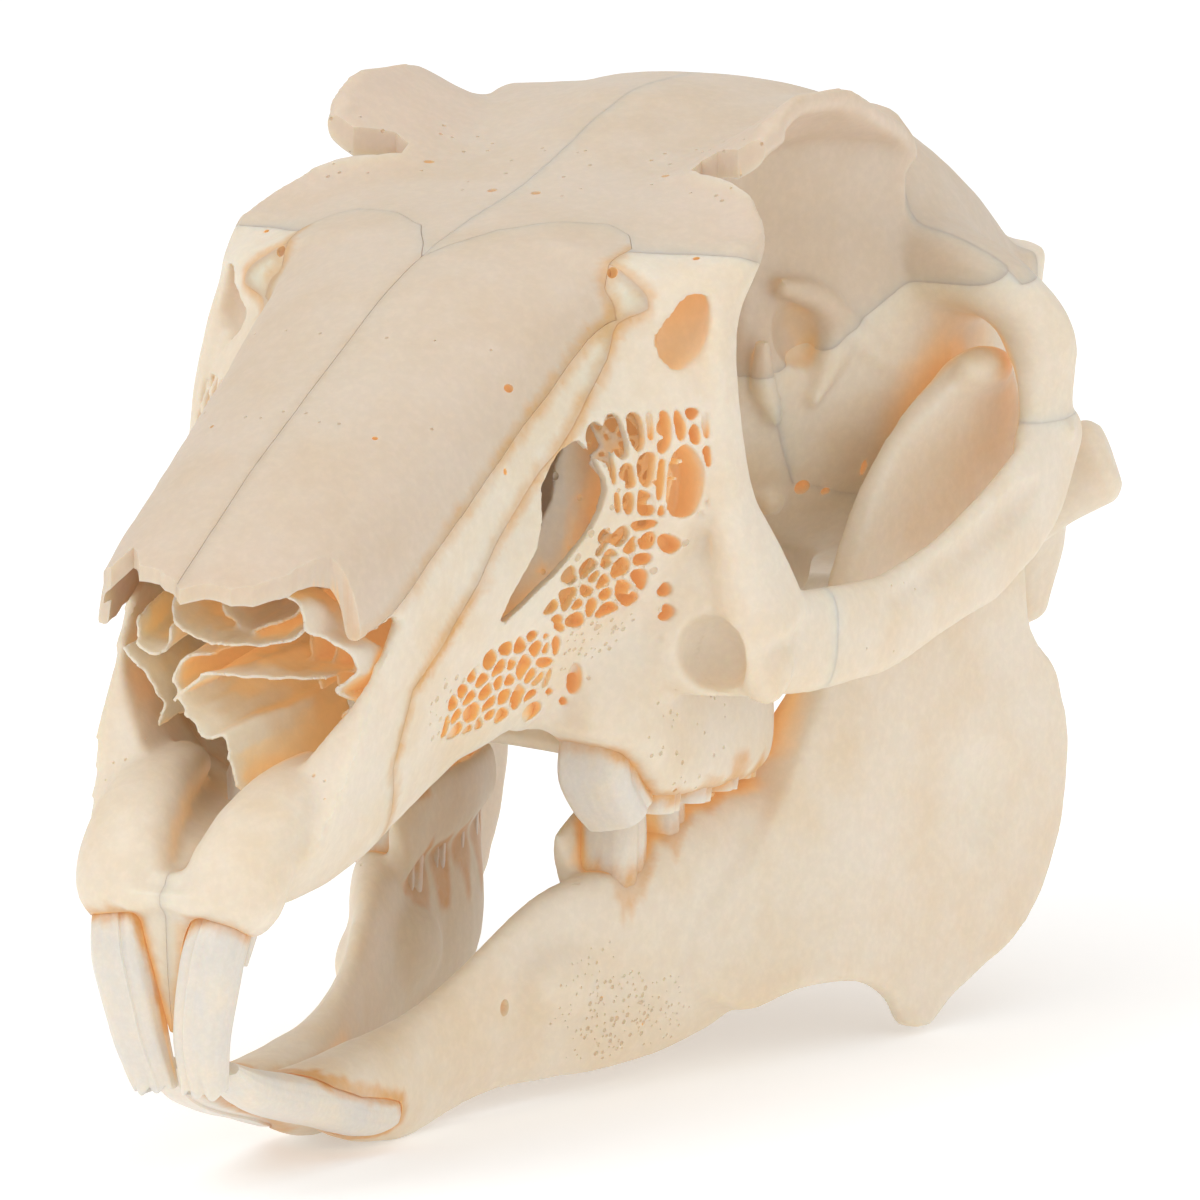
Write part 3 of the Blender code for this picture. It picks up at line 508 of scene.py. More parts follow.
def largest(obj: Solid) -> Solid:
    """Keeps the largest of the closed bodies in a mesh.

    Args:
        obj: the solid.
    Returns:
        The same solid.
    """
    count = len(obj.data.vertices)
    a, b = edge_pairs(obj.data).T
    label = np.arange(count)
    while True:
        low = np.minimum(label[a], label[b])
        fresh = label.copy()
        np.minimum.at(fresh, a, low)
        np.minimum.at(fresh, b, low)
        fresh = fresh[fresh]
        if np.array_equal(fresh, label):
            break
        label = fresh
    co = corners(obj)
    names, numbers = np.unique(label, return_inverse=True)
    if len(names) == 1:
        return obj
    sizes = [np.prod(np.ptp(co[numbers == k], axis=0)) for k in range(len(names))]
    drop = np.flatnonzero(numbers != int(np.argmax(sizes)))
    bm = bmesh.new()
    bm.from_mesh(obj.data)
    bm.verts.ensure_lookup_table()
    bmesh.ops.delete(bm, geom=[bm.verts[i] for i in drop], context="VERTS")
    bm.to_mesh(obj.data)
    bm.free()
    return obj


def resampled(outline: Outline, step: float) -> np.ndarray:
    """Puts points at even steps along a closed polygon, and keeps its corners.

    Args:
        outline: the polygon.
        step: the longest step.
    Returns:
        An array of two values a row.
    """
    p = np.array([key[:2] for key in outline], float)
    rows = []
    for a, b in zip(p, np.roll(p, -1, 0)):
        count = max(1, math.ceil(np.linalg.norm(b - a) / step))
        rows += [a + (b - a) * k / count for k in range(count)]
    return np.array(rows)


def grown(outline: np.ndarray, margin: float | np.ndarray) -> np.ndarray:
    """Moves a polygon's edge outwards.

    Args:
        outline: the polygon.
        margin: how far, for all points or for each.
    Returns:
        The new polygon.
    """
    area = np.sum(outline[:, 0] * np.roll(outline[:, 1], -1) - np.roll(outline[:, 0], -1) * outline[:, 1])
    edge = np.roll(outline, -1, 0) - outline
    normal = np.stack([edge[:, 1], -edge[:, 0]], 1) / np.linalg.norm(edge, axis=1)[:, None] * np.sign(area)
    mitre = np.roll(normal, 1, 0) + normal
    mitre /= np.maximum(np.sum(mitre * normal, 1), 0.5)[:, None]
    return outline + mitre * np.reshape(margin, (-1, 1))


def winding(outline: Outline, swing: float, size: float, seed: int) -> np.ndarray:
    """Makes the winding line of a suture from a plain polygon.

    Args:
        outline: the polygon.
        swing: how far the line leaves it.
        size: the length of a wave.
        seed: a whole number that picks the waves.
    Returns:
        The winding polygon.
    """
    p = resampled(outline, size / 2.5)
    at = np.column_stack([p, np.zeros(len(p))])
    return grown(p, swing * (0.65 * lumps(at, size * 2.1, seed) + 0.35 * lumps(at, size * 0.8, seed + 1)))


def inside(ring: np.ndarray, y: float, z: float) -> bool:
    """Tells whether a point lies in a convex ring.

    Args:
        ring: the ring, as rows of y and z.
        y: the point's y.
        z: its z.
    Returns:
        True if it does.
    """
    way = np.roll(ring, -1, 0) - ring
    side = way[:, 0] * (z - ring[:, 1]) - way[:, 1] * (y - ring[:, 0])
    return bool(np.all(side > 0) or np.all(side < 0))


def clipped(cell: np.ndarray, point: np.ndarray, way: np.ndarray, margin: float) -> np.ndarray:
    """Cuts off the part of a convex polygon that lies beyond a line.

    Args:
        cell: the polygon.
        point: a point on the line.
        way: the direction across the line, away from what is kept.
        margin: how far before the line the cut runs.
    Returns:
        What is left.
    """
    if len(cell) < 3:
        return cell
    across = way / np.linalg.norm(way)
    far = (cell - point) @ across + margin
    kept = []
    for i in range(len(cell)):
        j = (i + 1) % len(cell)
        if far[i] <= 0:
            kept.append(cell[i])
        if (far[i] < 0) != (far[j] < 0):
            kept.append(cell[i] + (cell[j] - cell[i]) * far[i] / (far[i] - far[j]))
    return np.array(kept) if len(kept) > 2 else np.empty((0, 2))


def block(name: str, outline: np.ndarray, plane: Plane, low: float, high: float,
          margin: float = 0.0) -> Solid:
    """Makes a prism over a polygon.

    Args:
        name: the object's name.
        outline: the polygon.
        plane: the plane in which it is drawn.
        low: where the prism starts across that plane.
        high: where it ends.
        margin: how much larger it is made all round.
    Returns:
        The solid.
    """
    p = grown(np.array(outline, float), margin)
    if plane is Plane.FLANK:
        rings = [[(x, a, b) for a, b in p] for x in (low - margin, high + margin)]
    else:
        rings = [[(a, b, z) for a, b in p] for z in (low - margin, high + margin)]
    return outward(loft(name, rings))


def part_off(body: Solid, name: str, outline: np.ndarray, plane: Plane, low: float, high: float,
             gap: float = SEAM) -> tuple:
    """Cuts a bone from the body and leaves a suture's gap around it.

    Args:
        body: the solid that is cut, which is replaced.
        name: the bone's name.
        outline: the bone's edge.
        plane: the plane in which it is drawn.
        low: where the bone starts across that plane.
        high: where it ends.
        gap: the suture's width.
    Returns:
        The bone and what is left of the body.
    """
    bone = cut(copy_of(body, name), block("inside", outline, plane, low, high), Cut.INSIDE)
    rest = cut(body, block("around", outline, plane, low, high, gap), Cut.OUTSIDE)
    return largest(bone), rest


def uneven(obj: Solid, rough: float, seed: int) -> Solid:
    """Gives a skin the unevenness of bone.

    Args:
        obj: the solid.
        rough: how uneven it is, 1 for plain bone.
        seed: a whole number that picks the pattern.
    Returns:
        The same solid.
    """
    co = corners(obj)
    lift = 0.10 * lumps(co, 6.0, seed) + 0.05 * lumps(co, 2.4, seed + 1) + 0.02 * lumps(co, 0.9, seed + 2)
    return move_corners(obj, co + normals(obj) * (lift * rough)[:, None])


def normals(obj: Solid) -> np.ndarray:
    """Reads the direction that a mesh faces at each point.

    Args:
        obj: the solid.
    Returns:
        Rows of x, y, z.
    """
    rows = np.empty(len(obj.data.vertices) * 3)
    obj.data.vertex_normals.foreach_get("vector", rows)
    return rows.reshape(-1, 3)


def tree_of(objects: Sequence[Solid]) -> BVHTree:
    """Makes a tree that rays can be cast on.

    Args:
        objects: the solids that the rays may hit.
    Returns:
        The tree.
    """
    bm = bmesh.new()
    for obj in objects:
        bm.from_mesh(obj.data)
    tree = BVHTree.FromBMesh(bm)
    bm.free()
    return tree


def swollen(obj: Solid, by: float) -> Solid:
    """Moves the skin of a closed mesh outwards.

    Args:
        obj: the solid, which is replaced.
        by: how far.
    Returns:
        The new solid.
    """
    modifier = obj.modifiers.new("Displace", "DISPLACE")
    modifier.strength = by
    modifier.mid_level = 0
    return applied(obj)


def drill(at: tuple, aim: tuple, wide: float, tall: float, deep: float) -> Solid:
    """Makes a small egg that sinks a hole into a skin.

    Args:
        at: the hole's mouth.
        aim: the direction out of the skin.
        wide: half the hole's width.
        tall: half its height.
        deep: its depth.
    Returns:
        The solid.
    """
    egg = blob("drill", (0, 0, 0), (wide, tall, deep), detail=3)
    turn = Vector(aim).to_track_quat("Z", "Y").to_matrix().to_4x4()
    egg.data.transform(Matrix.Translation(Vector(at)) @ turn)
    return egg


def ring_at(y: float, right: Outline, per: int = 5) -> list[tuple[float, float, float]]:
    """Makes a cross-section that is the same on both sides."""
    ring = list(right) + [(-x, z) for x, z in right[-2:0:-1]]
    return [(x, y, z) for x, z in closed_curve(ring, per)]


def linear(code: str) -> tuple[float, float, float, float]:
    """Turns an sRGB hex colour to linear light."""
    values = [int(code[i : i + 2], 16) / 255 for i in (0, 2, 4)]
    return (*(v / 12.92 if v <= 0.04045 else ((v + 0.055) / 1.055) ** 2.4 for v in values), 1.0)


def add(tree: bpy.types.NodeTree, kind: str, settings: dict, inputs: dict) -> bpy.types.Node:
    """Adds a node.

    Args:
        tree: the tree that gets it.
        kind: its type.
        settings: its properties.
        inputs: for each input, by name or number, a value or the socket that feeds it.
    Returns:
        The node.
    """
    node = tree.nodes.new(kind)
    for key, value in settings.items():
        setattr(node, key, value)
    for key, value in inputs.items():
        if isinstance(value, bpy.types.NodeSocket):
            tree.links.new(value, node.inputs[key])
        else:
            node.inputs[key].default_value = value
    return node


@dataclass(frozen=True)
class BoneFinish:
    """Bleached bone: satin and ivory where it is open, with painted shade in its recesses that turns them
    orange, and a faint painted glow there that stands in for light coming through the thin bone.
    """

    name: str = "bleached_bone"
    pale: str = "E8DCC9"
    warm: str = "E4D0B2"
    # recess: painted shade, the warm orange that recesses and gaps take where they are hidden from the light
    recess: str = "E8BF89"
    stain: str = "DA983C"
    # through: colour of the painted glow, which stands in for light coming through thin bone
    through: str = "FFCD92"
    glow: float = 0.17
    roughness: float = 0.5
    mottle_mm: float = 7.0
    speck_mm: float = 0.55

    def material(self) -> bpy.types.Material:
        """Makes the material, or finds it if it is made.

        Returns:
            The material.
        """
        found = bpy.data.materials.get(self.name)
        if found:
            return found
        made = bpy.data.materials.new(self.name)
        made.use_nodes = True
        tree = made.node_tree
        shader = tree.nodes["Principled BSDF"]
        place = add(tree, "ShaderNodeTexCoord", {}, {}).outputs["Object"]
        # depth: how hidden each point is by the pieces around it; it masks the painted shade and the painted
        # glow
        depth = add(tree, "ShaderNodeAttribute", {"attribute_name": "depth"}, {}).outputs["Fac"]
        seam = add(tree, "ShaderNodeAttribute", {"attribute_name": "seam"}, {}).outputs["Fac"]
        mottle = add(tree, "ShaderNodeTexNoise", {}, {
            "Vector": place, "Scale": 1 / (self.mottle_mm * MM), "Detail": 5.0, "Roughness": 0.6
        }).outputs["Fac"]
        fine = add(tree, "ShaderNodeTexNoise", {}, {
            "Vector": place, "Scale": 1 / (self.speck_mm * MM), "Detail": 3.0, "Roughness": 0.65
        }).outputs["Fac"]
        warmth = add(tree, "ShaderNodeMapRange", {"interpolation_type": "SMOOTHSTEP"},
                     {"Value": mottle, "From Min": 0.32, "From Max": 0.78}).outputs[0]
        colour = add(tree, "ShaderNodeMix", {"data_type": "RGBA"},
                     {0: warmth, 6: linear(self.pale), 7: linear(self.warm)}).outputs[2]
        # painted shade: where depth is high, the colour turns to the warm recess colour
        deep = add(tree, "ShaderNodeMapRange", {"interpolation_type": "SMOOTHSTEP"},
                   {"Value": depth, "From Min": 0.34, "From Max": 0.92}).outputs[0]
        colour = add(tree, "ShaderNodeMix", {"data_type": "RGBA"},
                     {0: deep, 6: colour, 7: linear(self.recess)}).outputs[2]
        ragged = add(
            tree, "ShaderNodeMath", {"operation": "MULTIPLY_ADD"}, {0: mottle, 1: 1.6, 2: -0.25}).outputs[0]
        streak = add(tree, "ShaderNodeMath", {"operation": "MULTIPLY", "use_clamp": True},
                     {0: seam, 1: ragged}).outputs[0]
        colour = add(tree, "ShaderNodeMix", {"data_type": "RGBA"},
                     {0: streak, 6: colour, 7: linear(self.stain)}).outputs[2]
        speck = add(
            tree, "ShaderNodeMapRange", {"interpolation_type": "SMOOTHSTEP"},
            {"Value": fine, "From Min": 0.35, "From Max": 0.75, "To Min": 0.965, "To Max": 1.02}).outputs[0]
        colour = add(tree, "ShaderNodeMix", {"data_type": "RGBA", "blend_type": "MULTIPLY"},
                     {0: 1.0, 6: colour, 7: speck}).outputs[2]
        tree.links.new(colour, shader.inputs["Base Color"])
        # painted glow: a faint emission in the recesses, standing in for light that comes through thin bone
        glow = add(tree, "ShaderNodeMath", {"operation": "MULTIPLY"}, {0: deep, 1: self.glow}).outputs[0]
        tree.links.new(glow, shader.inputs["Emission Strength"])
        shader.inputs["Emission Color"].default_value = linear(self.through)
        made.cycles.emission_sampling = "NONE"  # the glow is too faint to be a lamp, which would slow the render
        bump = add(tree, "ShaderNodeBump", {}, {"Height": fine, "Strength": 0.25, "Distance": 0.05 * MM})
        tree.links.new(bump.outputs[0], shader.inputs["Normal"])
        shader.inputs["Roughness"].default_value = self.roughness
        shader.inputs["IOR"].default_value = 1.54
        shader.inputs["Subsurface Weight"].default_value = 0.35
        shader.inputs["Subsurface Radius"].default_value = (1.0, 0.6, 0.32)
        shader.inputs["Subsurface Scale"].default_value = 2.0 * MM
        return made


@dataclass(frozen=True)
class ToothFinish(BoneFinish):
    """Enamel: whiter and glossier than the bone, with streaks along the tooth."""

    name: str = "tooth_enamel"
    pale: str = "DDD7CD"
    warm: str = "E8DCC8"
    # painted shade for the tooth's recesses and the gaps around it
    recess: str = "E2C48E"
    stain: str = "DA983C"
    roughness: float = 0.3
    mottle_mm: float = 2.5
    speck_mm: float = 0.3


# each finish's recess colour is painted shade in its hollows
BONE = BoneFinish()
ROOF_BONE = BoneFinish(name="bleached_roof_bone", pale="D9C8B4", warm="D5C0A6", recess="E2B47A")
ENAMEL = ToothFinish()


@dataclass(frozen=True)
class Snout:
    """The snout's walls and the hollow of the nose."""

    ridge: Keys = (
        (1.0, 31.6), (2.8, 32.7), (8, 36.1), (15, 40.2), (22, 44.0), (29.5, 47.6), (36, 49.6), (43.8, 51.3),
        (48.7, 52.8), (53, 54.4), (58, 55.6), (64, 55.8), (72, 54.4), (80, 50.5), (86, 47.2), (91, 42.0))
    roof_half: Keys = (
        (1, 6.4), (3, 6.9), (7, 7.7), (10, 8.3), (14, 8.8), (22, 9.4), (30, 10.1), (37, 10.9), (44, 12.6))
    roof_drop: Keys = (
        (1, 1.6), (3.5, 2.8), (7, 5.6), (10, 7.0), (14, 8.0), (18, 7.6), (22, 6.9), (30, 4.8), (37, 2.1),
        (44, 2.6))
    side_half: Keys = (
        (1, 6.9), (4, 8.0), (8, 8.1), (14, 8.4), (22, 9.9), (30, 12.2), (33, 14.0), (35.6, 16.2),
        (38.5, 15.6), (42, 11.5))
    side_z: Keys = ((1, 17), (4, 19.5), (8, 23), (14, 26), (22, 30), (30, 33), (36, 35), (44, 37))
    side_swell: Keys = ((26, 0.0), (32, 0.8), (35.5, 2.0), (39, 1.8), (42, 0.6))
    keel_z: Keys = (
        (1, 15.0), (3.3, 15.2), (7, 15.0), (10.7, 15.3), (14.5, 16.0), (18.9, 17.6), (27, 20.2), (34, 21.4),
        (44, 21.0))
    keel_half: Keys = ((1, 5.0), (4, 6.2), (11, 6.4), (20, 6.4), (28, 7.5), (34, 8.8), (42, 9.2))
    floor_z: Keys = ((-3, 17.2), (4.8, 18.0), (10, 19.4), (20, 21.6), (32, 24.2), (39, 27.0))
    wall: float = 0.75

    def skin(self) -> Solid:
        """Builds the outer form.

        Returns:
            The solid.
        """
        rings = []
        for y in np.linspace(1.4, 41.6, 60):
            top, half, drop = keyed(self.ridge, y), keyed(self.roof_half, y), keyed(self.roof_drop, y)
            side, side_z = keyed(self.side_half, y), keyed(self.side_z, y)
            keel, keel_half = keyed(self.keel_z, y), keyed(self.keel_half, y)
            blunt = keyed(((1.2, 0.82), (2.2, 0.95), (3.2, 1.0)), y)
            ring = [(0, top), (half * 0.5, top - 0.10 * drop), (half * 0.86, top - 0.42 * drop),
                    (half, top - drop),
                    ((half + side) / 2 + keyed(self.side_swell, y), (top - drop + side_z) / 2),
                    (side, side_z),
                    (keel_half * 1.02, keel + 2.6), (keel_half * 0.62, keel), (0, keel + 0.3)]
            rings.append(ring_at(y, [(x * blunt, z) for x, z in ring]))
        return outward(loft("snout", rings))

    def gum_arch(self) -> Solid:
        """Builds the arch that the edge of the bone makes over an upper incisor."""
        return blob("gum_arch", (4.6, 3.0, 13.6), (4.4, 4.6, 2.1))

    def hollow(self) -> Solid:
        """Builds the inside of the nose, open in front.

        Returns:
            The solid that is cut away.
        """
        rings = []
        for y in (-3, 1, 4, 8, 12, 16, 22, 27, 31, 34, 36.5, 39):
            narrow = keyed(((4, 0.0), (8, 0.25), (14, 0.75), (20, 1.0)), y)
            top, half = keyed(self.ridge, y) - self.wall, keyed(self.roof_half, y) - self.wall
            drop = keyed(self.roof_drop, y)
            side, side_z = keyed(self.side_half, y) - self.wall - 0.1, keyed(self.side_z, y)
            floor = keyed(self.floor_z, y)
            rise = side_z - floor
            end = keyed(((-3, 1.0), (31, 1.0), (36.5, 0.85), (39, 0.3)), y)
            middle = (top + floor) / 2
            swell = keyed(self.side_swell, y)
            right = [(0, top), (half * 0.5, top - 0.10 * drop), (half * 0.9, top - 0.5 * drop),
                     (half, top - drop),
                     ((half + side) / 2 + swell, (top - drop + side_z) / 2),
                     (side * (0.6 + 0.4 * narrow), side_z),
                     (side * (0.36 + 0.44 * narrow), floor + 0.5 * rise),
                     (side * (0.14 + 0.31 * narrow), floor + 0.12 * rise), (0, floor)]
            rings.append(ring_at(y, [(x * end, middle + (z - middle) * end) for x, z in right], 3))
        return outward(loft("hollow", rings))


@dataclass(frozen=True)
class Roof:
    """The forehead with the wings over both orbits, the wall between the orbits, and the braincase."""

    ridge: Keys = Snout.ridge
    dip: Keys = ((34, 0.0), (44, 0.3), (50, 1.0), (56, 1.9), (61, 2.4), (66, 2.0), (74, 1.6))
    lift: Keys = (
        (34, -2.4), (38, -2.2), (40.5, -1.2), (42.5, -0.7), (44.8, 0.3), (46.2, 2.7), (49.3, 3.6), (53, 2.5),
        (56, 1.5), (60.8, -0.6), (65.4, -2.5), (68, -4.2), (74, -6))
    edge: Outline = (
        (0, 34), (7, 34), (12.0, 34.6), (15.7, 36.9), (16.9, 39.9), (16.1, 42.8), (14.3, 45.0), (14.5, 48),
        (14.5, 52), (14.5, 56), (14.6, 60), (14.4, 64.5), (13.6, 67.2), (12.2, 66.8), (9.5, 66), (0, 70))
    brain_half: Keys = (
        (56, 8.0), (60, 11.0), (66, 14.4), (72, 15.9), (78, 15.8), (84, 14.4), (88, 12.4), (90.6, 8.5))
    brain_low: Keys = ((56, 31), (60, 29), (66, 27), (72, 25.6), (80, 25), (86, 25.5), (92, 28))

    def height(self, x: np.ndarray, y: np.ndarray) -> np.ndarray:
        """Height of the forehead between and over the orbits.

        Args:
            x: distances from the midline.
            y: distances back from the nose.
        Returns:
            The heights.
        """
        a = np.abs(x)
        dip, lift = keyed(self.dip, y), keyed(self.lift, y)
        inner = np.clip(a / 8.0, 0, 1)
        outer = np.clip((a - 6.0) / 8.5, 0, 1.3)
        return keyed(self.ridge, y) - dip * inner**2 * (3 - 2 * inner) + (lift + dip) * outer**1.5

    def forehead(self) -> Solid:
        """Builds the frontal bones' plate.

        Returns:
            The solid.
        """
        ring = list(self.edge) + [(-x, y) for x, y in self.edge[-2:0:-1]]
        plate = slab("forehead", ring, Plane.TOP, 3.0, 0.4, 4)
        return warp(plate, lambda x, y, z: (x, y, self.height(x, y) - 0.8 + z * 0.5))

    def between_orbits(self) -> Solid:
        """Builds the deep wall between the orbits.

        Returns:
            The solid.
        """
        rings = []
        for y in np.linspace(38, 66, 30):
            top = float(self.height(np.array(0.0), y)) - 0.8
            half_top = keyed(((38, 10.5), (44, 9.4), (50, 8.4), (56, 9.0), (60, 11.0), (66, 14.0)), y)
            half_mid = keyed(((38, 9.5), (44, 7.0), (50, 5.4), (55, 6.2), (60, 9.0), (66, 13.5)), y)
            half_low = keyed(((38, 8.5), (44, 4.4), (50, 2.6), (56, 3.0), (62, 6.0), (66, 8.0)), y)
            low = keyed(((38, 24), (44, 26), (50, 27.0), (56, 26.5), (66, 26)), y)
            span = top - low
            rings.append(ring_at(y, [
                (0, top), (half_top * 0.7, top - 0.2), (half_top, top - 1.6), (half_mid, top - 0.36 * span),
                (half_mid * 0.9, top - 0.6 * span), (half_low, low + 0.12 * span), (half_low * 0.6, low),
                (0, low)]))
        return outward(loft("between_orbits", rings))

    def braincase(self) -> Solid:
        """Builds the braincase.

        Returns:
            The solid.
        """
        rings = []
        for y in np.linspace(56, 90.6, 40):
            top, low, half = keyed(self.ridge, y), keyed(self.brain_low, y), keyed(self.brain_half, y)
            span = top - low
            rings.append(ring_at(y, [
                (0, top), (half * 0.55, top - 0.04 * span), (half * 0.86, top - 0.2 * span),
                (half, top - 0.44 * span), (half * 0.92, top - 0.74 * span), (half * 0.6, low + 0.04 * span),
                (0, low)]))
        return outward(loft("braincase", rings))

    def shield(self) -> Solid:
        """Builds the raised shield on the back of the head.

        Returns:
            The solid.
        """
        return bar("shield", [
            (0, 85.4, 49.6, 1.6, 3.6), (0, 88.0, 47.8, 1.9, 5.0), (0, 90.0, 44.6, 1.9, 5.8),
            (0, 90.8, 40.4, 1.7, 4.4), (0, 90.6, 36.0, 1.2, 1.8)], power=2.0, up=(0, 1, 0))

    def forms(self) -> list[Solid]:
        """All forms of the roof."""
        return [self.forehead(), self.between_orbits(), self.braincase(), self.shield()]


@dataclass(frozen=True)
class Flank:
    """The forms of one side of the head: the orbit's rim, the cheek arch, the tooth block and the back."""

    def rim(self) -> Solid:
        """Builds the rim in front of the orbit.

        Returns:
            The solid.
        """
        return bar("orbit_rim", [
            (15.5, 40.8, 48.7, 1.3, 1.0), (15.5, 38.4, 45.6, 1.3, 0.9), (15.9, 37.0, 42.4, 1.3, 0.9),
            (16.5, 36.7, 39, 1.4, 0.9), (16.8, 37.0, 35.3, 1.7, 1.1), (17.4, 38.0, 31, 2.6, 1.8),
            (17.9, 39.2, 27.4, 3.1, 2.3)], up=(0, 1, 0.2))

    def cheek(self) -> list[Solid]:
        """Builds the cheek arch from its root on the snout to the bar over the jaw joint.

        Returns:
            The solids.
        """
        return [
            bar("cheek_root", [
                (8, 37.5, 29.5, 6.5, 3.0), (12, 37.4, 29, 5.5, 2.4), (15.6, 38, 27.6, 4.4, 1.8),
                (18.2, 39.2, 26.4, 3.0, 1.6)]),
            bar("cheek_spine", [
                (17.5, 39.6, 27.0, 1.9, 1.6), (18.6, 38.4, 25.0, 1.3, 1.3), (18.6, 37.4, 23.6, 0.8, 0.8)]),
            bar("cheek_arch", [
                (17.4, 38.8, 26.6, 3.0, 1.5), (18.9, 43, 26.3, 3.0, 1.2), (19.7, 49, 26.4, 2.9, 1.0),
                (20.6, 56, 28.0, 2.9, 0.9), (21.3, 62, 30.0, 3.3, 0.9), (21.6, 67, 32.6, 3.4, 0.9),
                (21.5, 70.4, 35.0, 2.6, 0.9), (21.3, 72.6, 35.4, 1.0, 0.7)], count=60),
            bar("temple_root", [
                (12.0, 70, 45, 3.6, 5.0), (16.0, 68.8, 44.6, 2.4, 4.2), (19.8, 68.2, 43.0, 1.9, 3.0),
                (21.3, 68.6, 39.6, 2.2, 1.5), (21.4, 68.6, 36.4, 2.4, 1.0), (21.2, 66.4, 34.2, 1.6, 0.9)
            ], up=(0, 0.3, 1), count=60)]

    def tooth_block(self) -> Solid:
        """Builds the bone that holds the upper cheek teeth.

        Returns:
            The solid.
        """
        outline = closed_curve([(1, 0), (0.75, 0.8), (0, 1), (-0.8, 0.8), (-1, 0), (-0.95, -0.85), (0, -1),
                                (1.02, -0.95)], 4)
        rings = []
        for y in np.linspace(32.5, 55.5, 24):
            low = keyed(((32.5, 21.6), (35.2, 20.4), (38.6, 17.7), (46, 17.5), (51, 17.9), (55.5, 20.6)), y)
            top = keyed(((32.5, 25), (38, 32), (46, 30), (52, 27.5), (55.5, 24)), y)
            mid = keyed(((32.5, 8.6), (38, 9.6), (48, 9.9), (55.5, 8.8)), y)
            half = keyed(((32.5, 1.6), (36, 3.0), (44, 3.3), (50, 2.9), (55.5, 1.4)), y)
            rings.append([(mid + half * x, y, (top + low) / 2 + (top - low) / 2 * z) for x, z in outline])
        return outward(loft("tooth_block", rings))

    def underside(self) -> list[Solid]:
        """Builds the plates under the skull base, the mastoid and the condyle.

        Returns:
            The solids.
        """
        return [
            bar("wing_plate", [
                (7.0, 51, 23.4, 3.6, 0.9), (5.8, 56, 22.8, 3.8, 0.8), (5.2, 62, 22.4, 3.6, 0.8),
                (5.6, 67, 23.6, 2.6, 0.8)]),
            bar("wing_root", [(7.4, 52, 25.6, 1.8, 3.0), (4.0, 58, 26.6, 1.8, 3.4), (5.0, 66, 27, 2.0, 3.0)]),
            bar("mastoid", [
                (12.0, 82.4, 44.6, 3.2, 2.4), (11.6, 82.8, 38.4, 3.0, 2.1), (11.9, 87.2, 28, 3.1, 1.6),
                (11.0, 88.1, 21.4, 1.8, 1.0)], up=(0, 1, 0)),
            blob("condyle", (4.6, 90.6, 28.6), (2.2, 3.0, 3.4), turn=(20, 0, 0)),
            bar("brow_fill", [
                (10.2, 35.2, 45.9, 1.6, 1.8), (12.4, 36.2, 45.6, 2.0, 2.0), (14.2, 38.4, 46.2, 2.0, 1.6),
                (14.8, 40.6, 47.2, 1.4, 1.4)]),
            bar("arch_root_edge", [
                (16.6, 36.6, 30.4, 0.8, 0.8), (17.5, 36.6, 28.2, 1.0, 0.9), (18.1, 36.9, 26.0, 1.0, 0.9),
                (18.3, 37.2, 24.6, 0.7, 0.7)], up=(0, 1, 0))]

    def hollows(self) -> list[Solid]:
        """Builds what is sunk into one side: under the wing, in the cheek's root and arch, and in the orbit.

        Returns:
            The solids that are cut away.
        """
        return [
            bar("wing_hollow", [
                (13.2, 47.6, 52.7, 0.5, 2.4, -22), (13.2, 51, 53.8, 1.1, 3.0, -22),
                (13.2, 55, 53.7, 1.1, 3.0, -22), (13.2, 58.6, 52.8, 0.9, 2.8, -22),
                (13.0, 61.4, 51.8, 0.3, 1.8, -22)], power=2.2),
            blob("root_hollow", (16.1, 36.0, 26.2), (2.1, 3.2, 2.3), turn=(-20, 0, 0)),
            bar("arch_groove", [
                (21.2, 45, 27.4, 0.4, 0.5), (21.5, 50, 28.2, 1.2, 1.0), (22.2, 57, 30.0, 1.5, 1.1),
                (22.75, 63, 32.0, 1.4, 1.1), (22.9, 66, 33.2, 0.5, 0.6)], power=2.0),
            blob("wall_hollow", (10.2, 58.6, 41.6), (1.5, 1.5, 2.2), turn=(30, 0, 0)),
            blob("optic_opening", (9.2, 60.0, 30.0), (1.9, 1.3, 1.5)),
            blob("tear_pit", (13.8, 36.2, 44.7), (1.9, 1.15, 2.7), turn=(-21, 0, 0))]

